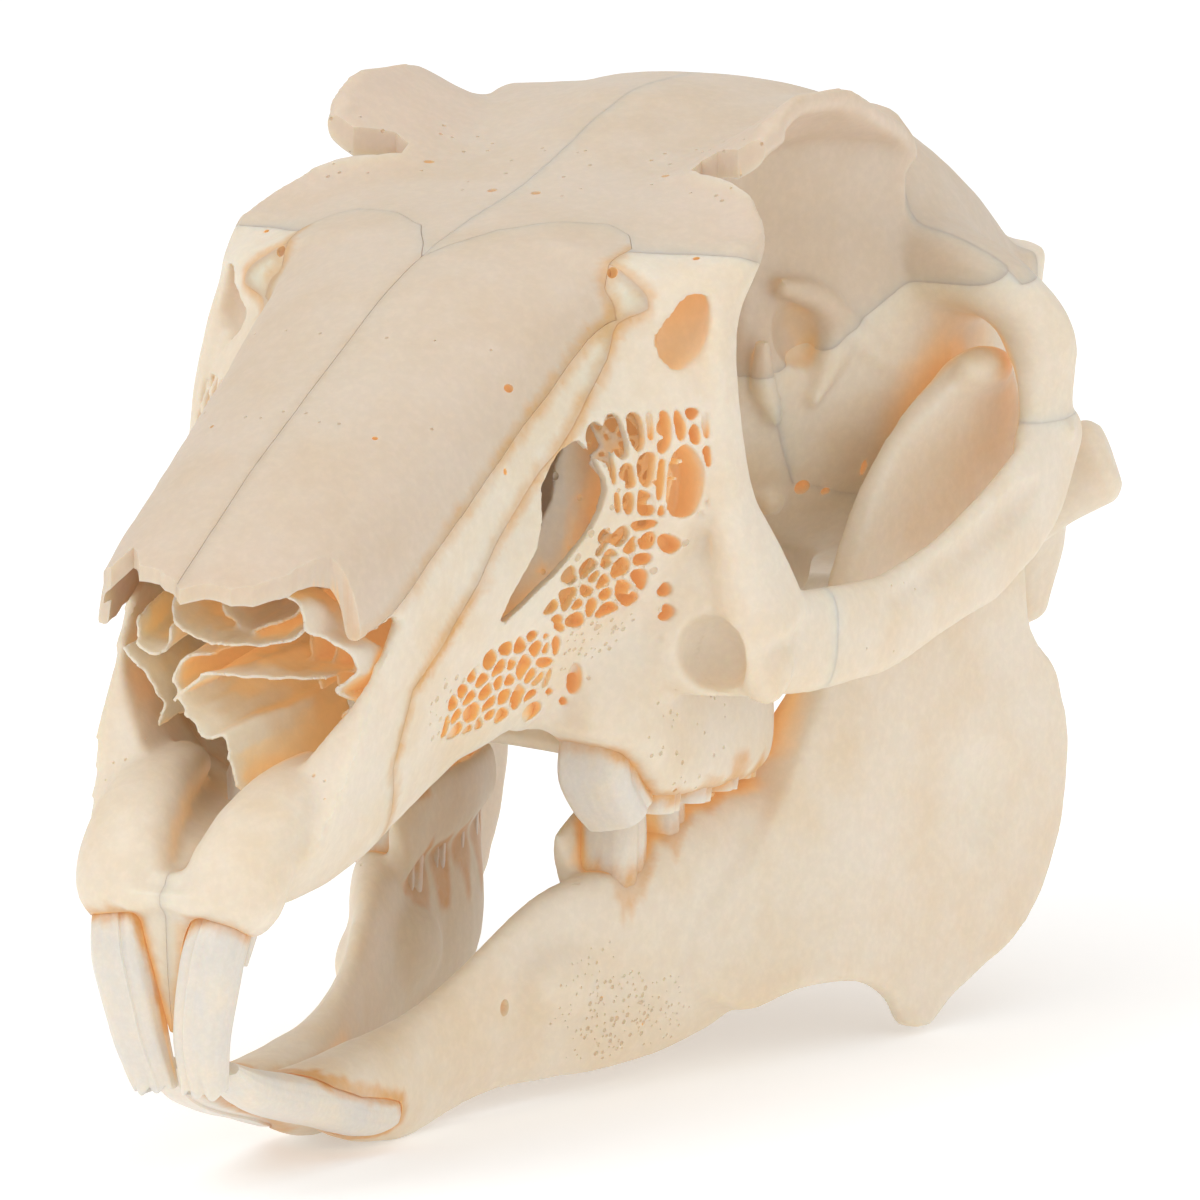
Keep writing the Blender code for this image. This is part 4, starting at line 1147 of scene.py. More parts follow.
    def plugs(self) -> list[Solid]:
        """Builds what stands in and beside those hollows.

        Returns:
            The solids.
        """
        return [
            blob("tear_knob", (11.9, 35.8, 44.3), (0.6, 0.7, 1.9), turn=(-21, 0, 0)),
            bar("incisor_root", [
                (3.1, 3.3, 14.4, 1.3, 1.7), (3.2, 3.5, 14.9, 1.9, 2.3), (3.3, 3.7, 15.8, 2.2, 2.8),
                (3.5, 4.0, 17.0, 2.2, 2.9), (3.8, 5.4, 18.8, 2.2, 2.6), (4.2, 8.4, 20.8, 1.8, 2.2),
                (4.4, 12.0, 22.0, 1.2, 1.8)], up=(0, 1, 0)),
            bar("incisor_wedge", [
                (0.2, 4.0, 17.2, 1.9, 2.4), (0.1, 3.7, 13.6, 1.5, 2.1), (0, 3.5, 10.8, 1.0, 1.5),
                (0, 3.4, 8.9, 0.6, 0.9), (0, 3.3, 8.2, 0.3, 0.4)], up=(0, 1, 0)),
            bar("orbit_spur", [
                (11.2, 61.4, 42.4, 1.3, 1.0), (11.2, 61.0, 40.6, 1.3, 1.0), (11.0, 60.2, 39.0, 0.7, 0.7),
                (10.7, 59.5, 37.4, 0.3, 0.35)], up=(0, 1, 0)),
            bar("orbit_ridge", [
                (9.6, 57.0, 44.6, 0.5, 0.6), (10.8, 59.4, 43.8, 0.8, 0.8), (11.8, 62.0, 41.6, 0.9, 0.9),
                (13.2, 65.0, 39.6, 0.8, 0.8), (14.8, 69.0, 39.8, 0.5, 0.7)]),
            bar("orbit_brow", [
                (9.4, 55.6, 41.6, 0.4, 0.5), (9.0, 56.6, 39.0, 0.8, 0.7), (9.2, 58.0, 36.4, 0.4, 0.5)]),
            blob("optic_boss", (7.9, 59.8, 31.6), (0.9, 1.0, 0.9)),
            bar("wing_spike", [
                (13.8, 48.0, 54.6, 0.8, 0.9), (13.4, 46.6, 53.6, 0.55, 0.6), (12.9, 45.4, 52.6, 0.3, 0.35)])]

    def ear(self) -> Solid:
        """Builds the ear capsule with its tube.

        Returns:
            The solid.
        """
        return fuse("ear", [
            blob("capsule", (9.4, 77.6, 24.6), (4.6, 6.6, 5.2), turn=(0, 0, 14)),
            bar("ear_tube", [
                (10, 78.4, 26.6, 3.6, 3.6), (13.6, 79.8, 29.2, 3.0, 3.0), (16.4, 81.2, 31.0, 2.6, 2.6),
                (18.6, 82.1, 32.2, 2.6, 2.5), (19.3, 82.4, 32.5, 1.9, 1.8)])], 0.25, 10)

    def forms(self) -> list[Solid]:
        """All forms of one side but the ear capsule."""
        return [self.rim(), *self.cheek(), self.tooth_block(), *self.underside()]


@dataclass(frozen=True)
class Seams:
    """The outlines along which the cranium's bones meet. Side views are (y, z), top views (x, y)."""

    nasal: Outline = (
        (0.02, -4), (14, -4), (14, 31), (12.6, 33), (10.4, 34), (10.5, 36.8), (9.6, 38.2), (8.0, 38.6),
        (5.0, 37.6), (2.4, 36.0), (1.0, 33.4), (0.02, 31.5))
    nasal_side: Outline = (
        (-4, 60), (-4, 28.4), (4, 28.8), (8, 29.3), (12, 30.9), (17, 34.2), (22, 37.5), (27, 40.9),
        (31.8, 44.2), (36, 46.4), (40, 47.8), (44, 60))
    premaxilla: Outline = (
        (-4, 8), (17.0, 8), (16.4, 18), (14.4, 22), (14.8, 26.4), (18.4, 30.0), (22, 33.6), (29.2, 39.6),
        (32.4, 43.0), (34.2, 45.8), (34.6, 49.4), (20, 50), (-4, 50))
    maxilla: Outline = (
        (9, 8), (58.5, 8), (58.5, 24.5), (50, 27.5), (46.5, 31.5), (44.2, 36), (43.0, 43), (42.4, 48.0),
        (34.5, 49.4), (9, 50))
    frontal: Outline = (
        (31, 64), (31, 48.4), (36, 48.6), (39.2, 48.4), (43.2, 46.8), (44.6, 41.0), (50, 38.4), (58, 39.5),
        (66.4, 45.4), (67.4, 53), (68.9, 64))
    parietal: Outline = ((66, 64), (66, 44.4), (72, 45.6), (83, 42.6), (86, 48), (88, 64))
    temporal: Outline = ((56, 46), (58.5, 33), (66, 31.4), (85.5, 31.4), (85.5, 46), (72, 50))
    occiput: Outline = ((84.5, 60), (82.6, 44), (84.6, 36), (84.6, 30), (83.4, 14), (99, 14), (99, 60))
    cheek: Outline = ((44.6, 40), (43.4, 15), (78, 15), (78, 36.4), (62, 36.4), (60, 40))
    palate: Outline = ((37.0, 14), (37.0, 23.2), (48.6, 23.2), (50, 25.4), (69.6, 25.4), (69.6, 14))


@dataclass(frozen=True)
class Breaks:
    """The broken and open edges of the cranium."""

    nose_edge: Outline = (
        (-12, -9), (12, -9), (12, 9.8), (7.6, 9.4), (6.5, 8.8), (5.9, 7.4), (5.2, 5.6), (4.2, 4.2),
        (3.2, 3.6), (1.6, 3.4), (0.4, 3.0), (-1.6, 4.4), (-3.2, 4.8), (-4.6, 6.6), (-5.5, 5.8), (-6.4, 6.6),
        (-7.4, 8.8), (-12, 9.4))
    mouth: Outline = (
        (-6, 29.2), (8, 29.4), (13.4, 31.0), (11.6, 28.6), (9.5, 25), (7.5, 21), (5.8, 18.3), (4.2, 17.2),
        (2.8, 16.6), (1.6, 16.4), (-6, 16.4))
    broken_tip: Outline = ((-12, -9), (-3, -9), (-4, 7.5), (-6.6, 8.6), (-12, 8.6))
    notch: Outline = (
        (9.3, 46.4), (10.4, 45.6), (16, 43.8), (16, 46.4), (12.4, 46.3), (10.4, 47.8), (9.4, 47.6))
    slit: Outline = (
        (0.7, 11.6), (1.4, 11.6), (2.8, 14), (4.6, 19), (6.4, 24), (7.0, 29), (6.4, 33), (4.4, 36.4),
        (0.7, 36.6))

    def mouth_tool(self) -> Solid:
        """The space between the nasals and the bone over the incisors, as seen from the side."""
        return block("mouth", winding(self.mouth, 0.12, 1.4, 5), Plane.FLANK, -12, 12)

    def open_nose(self, body: Solid) -> Solid:
        """Breaks the thin front edges of the nasals.

        Args:
            body: a nasal.
        Returns:
            What is left of it.
        """
        edge = winding(self.nose_edge, 0.3, 0.9, 3)
        body = cut(body, block("nose_edge", edge, Plane.TOP, 28.6, 40), Cut.OUTSIDE)
        tip = winding(self.broken_tip, 0.25, 0.9, 6)
        return cut(body, block("broken_tip", tip, Plane.TOP, 26, 31.1), Cut.OUTSIDE)


@dataclass(frozen=True)
class Struts:
    """A Geometry Nodes tree that turns a web of edges into round struts."""

    sides: int = 8

    def tree(self) -> bpy.types.NodeTree:
        """Makes the node tree.

        Returns:
            The tree, with the input Scale for all radii.
        """
        tree = bpy.data.node_groups.new("struts", "GeometryNodeTree")
        tree.interface.new_socket("Geometry", in_out="INPUT", socket_type="NodeSocketGeometry")
        tree.interface.new_socket("Scale", in_out="INPUT", socket_type="NodeSocketFloat")
        tree.interface.new_socket("Geometry", in_out="OUTPUT", socket_type="NodeSocketGeometry")
        given = add(tree, "NodeGroupInput", {}, {})
        thick = add(
            tree, "GeometryNodeInputNamedAttribute", {"data_type": "FLOAT"}, {"Name": "thick"}).outputs[0]
        radius = add(tree, "ShaderNodeMath", {"operation": "MULTIPLY"},
                     {0: thick, 1: given.outputs["Scale"]}).outputs[0]
        lines = add(tree, "GeometryNodeMeshToCurve", {}, {"Mesh": given.outputs["Geometry"]}).outputs[0]
        lines = add(tree, "GeometryNodeSetCurveRadius", {}, {"Curve": lines, "Radius": radius}).outputs[0]
        ring = add(tree, "GeometryNodeCurvePrimitiveCircle", {"mode": "RADIUS"},
                   {"Resolution": self.sides, "Radius": 1.0})
        tube = add(tree, "GeometryNodeCurveToMesh", {},
                   {"Curve": lines, "Profile Curve": ring.outputs[0], "Fill Caps": True})
        if "Scale" in tube.inputs:
            tree.links.new(radius, tube.inputs["Scale"])
        plain = add(tree, "GeometryNodeRealizeInstances", {}, {0: tube.outputs[0]}).outputs[0]
        dressed = add(
            tree, "GeometryNodeSetMaterial", {}, {"Geometry": plain, "Material": BONE.material()}).outputs[0]
        add(tree, "NodeGroupOutput", {}, {0: dressed})
        return tree

    def build(self, name: str, points: np.ndarray, edges: Sequence, thick: np.ndarray) -> Solid:
        """Builds round struts along edges.

        Args:
            name: the object's name.
            points: rows of x, y, z.
            edges: pairs of point numbers.
            thick: the strut's radius at each point.
        Returns:
            The struts.
        """
        mesh = bpy.data.meshes.new(name)
        mesh.from_pydata([tuple(map(float, p)) for p in points], edges, [])
        attribute = mesh.attributes.new("thick", "FLOAT", "POINT")
        attribute.data.foreach_set("value", np.asarray(thick, np.float32))
        obj = placed(name, mesh)
        modifier = obj.modifiers.new("Struts", "NODES")
        modifier.node_group = self.tree()
        socket = next(item for item in modifier.node_group.interface.items_tree
                      if item.name == "Scale" and item.in_out == "INPUT")
        modifier[socket.identifier] = 1.0
        made = applied(obj)
        made.data.materials.clear()
        return made


@dataclass(frozen=True)
class Pores:
    """A Geometry Nodes tree that strews small round pits over a patch of bone, as tools to cut with."""

    def tree(self) -> bpy.types.NodeTree:
        """Makes the node tree.

        Returns:
            The tree, with inputs for the density, the radii and the seed.
        """
        tree = bpy.data.node_groups.new("pores", "GeometryNodeTree")
        tree.interface.new_socket("Geometry", in_out="INPUT", socket_type="NodeSocketGeometry")
        for name, kind in (("Density", "Float"), ("Smallest", "Float"), ("Largest", "Float"),
                           ("Seed", "Int")):
            tree.interface.new_socket(name, in_out="INPUT", socket_type=f"NodeSocket{kind}")
        tree.interface.new_socket("Geometry", in_out="OUTPUT", socket_type="NodeSocketGeometry")
        given = add(tree, "NodeGroupInput", {}, {})
        apart = add(tree, "ShaderNodeMath", {"operation": "MULTIPLY"},
                    {0: given.outputs["Largest"], 1: 2.05}).outputs[0]
        strewn = add(tree, "GeometryNodeDistributePointsOnFaces", {"distribute_method": "POISSON"}, {
            "Mesh": given.outputs["Geometry"], "Distance Min": apart, "Density Max": given.outputs["Density"],
            "Seed": given.outputs["Seed"]})
        size = add(tree, "FunctionNodeRandomValue", {"data_type": "FLOAT"}, {
            2: given.outputs["Smallest"], 3: given.outputs["Largest"],
            "Seed": given.outputs["Seed"]}).outputs[1]
        ball = add(tree, "GeometryNodeMeshIcoSphere", {}, {"Radius": 1.0, "Subdivisions": 2}).outputs[0]
        strewn = add(tree, "GeometryNodeInstanceOnPoints", {},
                     {"Points": strewn.outputs[0], "Instance": ball, "Scale": size})
        plain = add(tree, "GeometryNodeRealizeInstances", {}, {0: strewn.outputs[0]}).outputs[0]
        dressed = add(
            tree, "GeometryNodeSetMaterial", {}, {"Geometry": plain, "Material": BONE.material()}).outputs[0]
        add(tree, "NodeGroupOutput", {}, {0: dressed})
        return tree

    def pit(self, bone: Solid, centre: tuple, reach: float, density: float, radii: tuple, seed: int) -> Solid:
        """Cuts pits into a patch of a bone.

        Args:
            bone: the bone, which is replaced.
            centre: the middle of the patch.
            reach: its radius.
            density: pits for each square millimetre.
            radii: the smallest and the largest pit's radius.
            seed: a whole number that picks their places.
        Returns:
            The pitted bone.
        """
        bm = bmesh.new()
        bm.from_mesh(bone.data)
        middle = Vector(centre)
        far = [f for f in bm.faces if (f.calc_center_median() - middle).length > reach]
        bmesh.ops.delete(bm, geom=far, context="FACES")
        mesh = bpy.data.meshes.new("patch")
        bm.to_mesh(mesh)
        bm.free()
        patch = placed("patch", mesh)
        modifier = patch.modifiers.new("Pores", "NODES")
        modifier.node_group = self.tree()
        values = {"Density": density, "Smallest": radii[0], "Largest": radii[1], "Seed": seed}
        for item in modifier.node_group.interface.items_tree:
            if item.in_out == "INPUT" and item.name in values:
                modifier[item.identifier] = values[item.name]
        pits = applied(patch)
        pits.data.materials.clear()
        if not pits.data.vertices:
            bpy.data.objects.remove(pits)
            return bone
        return cut(bone, pits, Cut.OUTSIDE)


@dataclass(frozen=True)
class Lattice:
    """The openwork in the side of the snout: holes through the wall, a finer web behind it and an inner wall.

    Holes are drawn on the plane x = 13 as y, z, half length, half width and turn in degrees.
    """

    lean: tuple = (-0.7, 0.1)
    cells: Outline = (
        (29.7, 38.7, 1.25, 0.86, -70), (31.4, 38.2, 0.72, 0.23, 81), (32.8, 39.0, 1.00, 0.40, 58),
        (33.5, 39.1, 0.88, 0.20, 58), (34.5, 38.9, 0.80, 0.33, 68), (35.7, 39.0, 0.27, 0.22, 1),
        (36.6, 38.6, 0.28, 0.22, 0), (35.8, 35.7, 1.95, 1.07, 80), (31.5, 36.6, 0.61, 0.38, 83),
        (33.1, 36.8, 0.78, 0.44, 86), (34.2, 36.2, 0.95, 0.22, 83), (31.5, 35.4, 0.34, 0.31, -67),
        (32.9, 35.0, 0.57, 0.31, -83), (29.8, 33.4, 0.57, 0.43, -29), (31.3, 33.1, 0.37, 0.26, -30),
        (35.2, 32.5, 0.97, 0.50, -14), (28.6, 31.9, 1.04, 0.64, -23), (30.5, 32.1, 0.65, 0.38, -18),
        (31.6, 31.5, 0.84, 0.59, -24), (30.3, 30.8, 0.47, 0.17, -10), (28.9, 30.4, 0.53, 0.32, -24),
        (30.7, 30.0, 0.39, 0.22, -20), (32.3, 30.3, 0.74, 0.35, 8), (29.8, 29.5, 0.40, 0.22, -19),
        (27.2, 30.3, 0.99, 0.59, -21), (25.8, 29.8, 0.45, 0.32, -23), (26.8, 31.6, 0.66, 0.47, -0),
        (28.5, 29.0, 0.37, 0.17, -15), (26.9, 28.6, 0.68, 0.22, -17), (25.7, 28.4, 0.46, 0.16, -17),
        (27.0, 27.6, 0.45, 0.19, -15), (26.1, 27.4, 0.29, 0.19, -19), (25.9, 26.6, 0.38, 0.25, -35),
        (25.3, 26.1, 0.60, 0.22, -21), (23.8, 26.7, 1.01, 0.48, 26), (22.7, 25.1, 0.87, 0.22, -18),
        (24.0, 24.9, 0.44, 0.22, -17), (21.2, 24.8, 0.44, 0.17, -15), (21.5, 24.1, 0.78, 0.22, -17),
        (20.7, 23.6, 0.55, 0.24, -20), (27.8, 24.7, 0.46, 0.17, -14), (29.3, 24.0, 0.37, 0.18, -29),
        (26.6, 23.7, 1.10, 0.49, 4), (29.7, 25.3, 0.99, 0.49, -82), (19.0, 24.6, 1.17, 0.49, -17),
        (17.4, 24.6, 0.53, 0.22, -16), (18.0, 24.0, 0.65, 0.22, -13), (17.6, 25.9, 0.53, 0.26, -21),
        (21.3, 26.9, 0.71, 0.42, 5), (35.6, 29.8, 0.54, 0.34, -14), (35.8, 28.5, 0.54, 0.48, -55),
        (35.5, 27.0, 0.23, 0.16, -78), (36.1, 27.2, 0.18, 0.16, -56))
    opening: Outline = (
        (28.0, 39.0), (29.0, 38.2), (29.9, 36.7), (30.0, 36.0), (29.4, 34.9), (28.6, 34.0), (27.2, 32.9),
        (25.2, 31.6),
        (22.8, 30.4), (21.0, 29.5), (20.3, 29.7), (21.0, 30.8), (22.4, 32.2), (23.6, 33.4), (24.3, 35.0),
        (24.5, 36.8),
        (25.4, 37.8), (26.4, 38.6))
    zone: Outline = ((15.2, 21.6), (37.9, 21.6), (37.9, 41.6), (25.5, 41.2), (22.5, 33.5), (15.2, 27.6))
    zones: tuple = (
        (((30.5, 34.5), (37.7, 33.6), (37.7, 40.1), (29.6, 40.3)), 0.62, 1.0, 0.1),
        (((30.6, 34.2), (27.4, 31.8), (24.4, 30.0), (24.9, 29.2), (28.6, 28.2), (34.2, 29.2), (34.2, 34.1)),
         1.35, 1.25, 0.1),
        (((27.6, 28.0), (24.2, 28.8), (19.6, 28.2), (16.0, 25.9), (15.8, 23.2), (23.0, 23.4), (27.4, 25.0)),
         1.5, 1.15, 0.1))
    depth: float = 2.0

    def hole(self, ring: Sequence, low: float, high: float) -> Solid:
        """Makes the prism that cuts one hole.

        Args:
            ring: its outline on the plane x = 13.
            low: the x at which it ends inside.
            high: the x at which it ends outside.
        Returns:
            The prism.
        """
        rings = [[(x, y + self.lean[0] * (x - 13), z + self.lean[1] * (x - 13)) for y, z in ring]
                 for x in (low, high)]
        return outward(loft("hole", rings))

    def wall(self, tree: BVHTree, y: float, z: float) -> Vector | None:
        """Finds where the line of a hole meets the bone from outside.

        Args:
            tree: the bone.
            y: the hole's y on the plane x = 13.
            z: its z there.
        Returns:
            The point, or None.
        """
        way = Vector((-1, -self.lean[0], -self.lean[1])).normalized()
        start = Vector((13, y, z)) - way * 9
        return tree.ray_cast(start, way)[0]

    def seeds(self, zone: tuple, rng: np.random.Generator) -> np.ndarray:
        """Finds the middles of the cells of one zone: the measured ones, and others where they leave room.

        Args:
            zone: the zone's convex outline, its stretch, its spacing and its strut.
            rng: the source of the others' places.
        Returns:
            Rows of y, z and mean radius.
        """
        outline, stretch, apart, _ = zone
        ring = np.array(outline, float)
        known = [(y, z, math.sqrt(long * wide)) for y, z, long, wide, _ in self.cells if inside(ring, y, z)]
        low, high = ring.min(0), ring.max(0)
        for z in np.arange(low[1], high[1], apart / stretch):
            for y in np.arange(low[0], high[0], apart):
                spot = (y + rng.uniform(-0.3, 0.3) * apart, z + rng.uniform(-0.3, 0.3) * apart / stretch)
                room = min((math.dist((spot[0], spot[1] * stretch), (k[0], k[1] * stretch)) for k in known),
                           default=9.0)
                if inside(ring, *spot) and room > apart * 0.82:
                    known.append((*spot, apart * 0.32))
        return np.array(known)

    def network(self, zone: tuple, rng: np.random.Generator) -> list[np.ndarray]:
        """Divides a zone into cells that leave struts between them.

        Args:
            zone: the zone's convex outline, its stretch, its spacing and its strut.
            rng: the source of the free places.
        Returns:
            The outline of each cell.
        """
        outline, stretch, _, strut = zone
        ring = np.array(outline, float)
        seeds = self.seeds(zone, rng)
        cells = []
        for k, (y, z, size) in enumerate(seeds):
            angles = np.linspace(0, 2 * math.pi, 28, endpoint=False)
            reach = max(3.6 * size, 1.5)
            cell = np.stack([y + reach * np.cos(angles), z + reach / stretch * np.sin(angles)], 1)
            for j, (y2, z2, size2) in enumerate(seeds):
                if j != k and abs(y2 - y) < 4 and abs(z2 - z) < 4:
                    way = np.array([y2 - y, (z2 - z) * stretch**2])
                    gap = (y2 - y) ** 2 + ((z2 - z) * stretch) ** 2
                    share = 0.5 + (size**2 - size2**2) / (2 * gap)
                    middle = np.array([y, z]) + np.array([y2 - y, z2 - z]) * share
                    cell = clipped(cell, middle, way, strut)
            for a, b in zip(ring, np.roll(ring, -1, 0)):
                cell = clipped(cell, a, np.array([b[1] - a[1], a[0] - b[0]]), strut)
            if len(cell) > 2 and np.prod(np.ptp(cell, axis=0)) > 0.08:
                for _ in range(2):
                    after = np.roll(cell, -1, 0)
                    cell = np.stack([0.75 * cell + 0.25 * after, 0.25 * cell + 0.75 * after], 1)
                    cell = cell.reshape(-1, 2)
                cells.append(cell)
        return cells

    def holes(self, tree: BVHTree) -> list[Solid]:
        """Makes the tools that cut all holes.

        Args:
            tree: the bone.
        Returns:
            The prisms.
        """
        rng = np.random.default_rng(5)
        rings = [cell for zone in self.zones for cell in self.network(zone, rng)]
        for k, (y, z, long, wide, turn) in enumerate(self.cells):
            if any(inside(np.array(zone[0], float), y, z) for zone in self.zones):
                continue
            t, a = math.radians(turn), np.linspace(0, 2 * math.pi, 18, endpoint=False)
            wobble = 1 + 0.10 * np.sin(2 * a + k) + 0.06 * np.sin(3 * a + 2.1 * k)
            c, d = long * wobble * np.cos(a), (wide + 0.04) * wobble * np.sin(a)
            rings.append(np.stack(
                [y + c * math.cos(t) - d * math.sin(t), z + c * math.sin(t) + d * math.cos(t)], 1))
        tools = []
        for ring in rings:
            met = self.wall(tree, *ring.mean(0))
            if met is not None:
                tools.append(self.hole(ring, met.x - self.depth, met.x + 2))
        met = self.wall(tree, 27.0, 36.0)
        if met is not None:
            tools.append(self.hole(winding(self.opening, 0.12, 0.6, 41), met.x - 3.2, met.x + 2))
        return tools

    def web(self, tree: BVHTree) -> list[Solid]:
        """Makes the finer web behind the wall and the struts that tie it to the wall.

        Args:
            tree: the bone.
        Returns:
            The struts.
        """
        rng = np.random.default_rng(19)
        points, place = [], []
        for row, z in enumerate(np.arange(23.4, 40.0, 1.25)):
            for y in np.arange(17.0 + 0.6 * (row % 2), 37.0, 1.3):
                y0, z0 = y + rng.uniform(-0.35, 0.35), z + rng.uniform(-0.35, 0.35)
                if z0 > 27.5 + (y0 - 17) * 0.95 or (20.0 < y0 < 30.2 and 29.4 < z0 < 39.2):
                    continue
                met = self.wall(tree, y0, z0)
                if met is not None:
                    place.append((y0, z0))
                    points.append(met + Vector((-1.6, 0.8, 0)) * rng.uniform(0.85, 1.3))
        edges, ties = [], []
        for i, (y, z) in enumerate(place):
            near = sorted((math.dist((y, z), other), j) for j, other in enumerate(place) if j > i)
            edges += [(i, j) for far, j in near[:3] if far < 2.0]
        base = len(points)
        for i in range(0, base, 3):
            points.append(points[i] + Vector((1.5, -0.75, 0.1)))
            ties.append((i, base + len(ties)))
        thick = rng.uniform(0.13, 0.22, len(points))
        return [Struts().build("web", np.array([p[:] for p in points]), edges + ties, thick)]

    def inner_wall(self) -> Solid:
        """Makes the pitted plate deep behind the web, with a ragged front edge.

        Returns:
            The plate.
        """
        rows = []
        for y in np.linspace(20, 38.5, 38):
            low = keyed(((20, 23.6), (28, 24.5), (38.5, 26.0)), y)
            high = keyed((
                (20, 28.8), (23.2, 30.2), (27.2, 31.9), (28.7, 32.4), (30.7, 34.2), (31.3, 36.4),
                (32.2, 38.6), (34, 40.2), (38.5, 41.0)), y)
            x = keyed(((20, 6.0), (26, 6.8), (32, 8.7), (38.5, 11.0)), y)
            for z in np.linspace(low, high, 30):
                rows.append((x + 0.8 * math.sin((z - low) / (high - low) * math.pi), y, z))
        points = np.array(rows)
        points[:, 0] += 0.25 * lumps(points, 2.2, 51) + 0.12 * lumps(points, 0.9, 52)
        faces = [(k * 30 + i, k * 30 + i + 1, (k + 1) * 30 + i + 1, (k + 1) * 30 + i)
                 for k in range(37) for i in range(29)]
        plate = solid("inner_wall", points, faces)
        modifier = plate.modifiers.new("Solidify", "SOLIDIFY")
        modifier.thickness = 0.45
        modifier.offset = 0
        return outward(applied(plate))

    def carve(self, bone: Solid) -> Solid:
        """Opens the lattice in a maxilla.

        Args:
            bone: the left maxilla, which is replaced.
        Returns:
            The bone with its openwork.
        """
        tree = tree_of([bone])
        holes, web = self.holes(tree), self.web(tree)
        zone = np.array(self.zone, float)
        fine = cut(copy_of(bone, "openwork"), block("zone", zone, Plane.FLANK, 6.8, 20), Cut.INSIDE)
        rest = cut(bone, block("zone", grown(zone, -0.35), Plane.FLANK, 7.15, 20), Cut.OUTSIDE)
        for k in range(0, len(holes), 12):
            fine = cut(fine, joined("holes", holes[k:k + 12]), Cut.OUTSIDE)
        fine = remeshed(joined("openwork", [fine, *web, self.inner_wall()]), 0.14, 2)
        for centre, reach, density, radii, seed in (
                ((11.1, 32.1, 28.3), 2.6, 3.0, (0.07, 0.17), 71),
                ((9.6, 19.0, 24.6), 2.4, 3.0, (0.08, 0.22), 72),
                ((11.4, 31.2, 25.4), 2.2, 2.5, (0.07, 0.15), 73),
                ((10.0, 33.0, 33.0), 5.5, 0.5, (0.12, 0.3), 74)):
            fine = Pores().pit(fine, centre, reach, density, radii, seed)
        return largest(cut(rest, fine, Cut.BOTH))


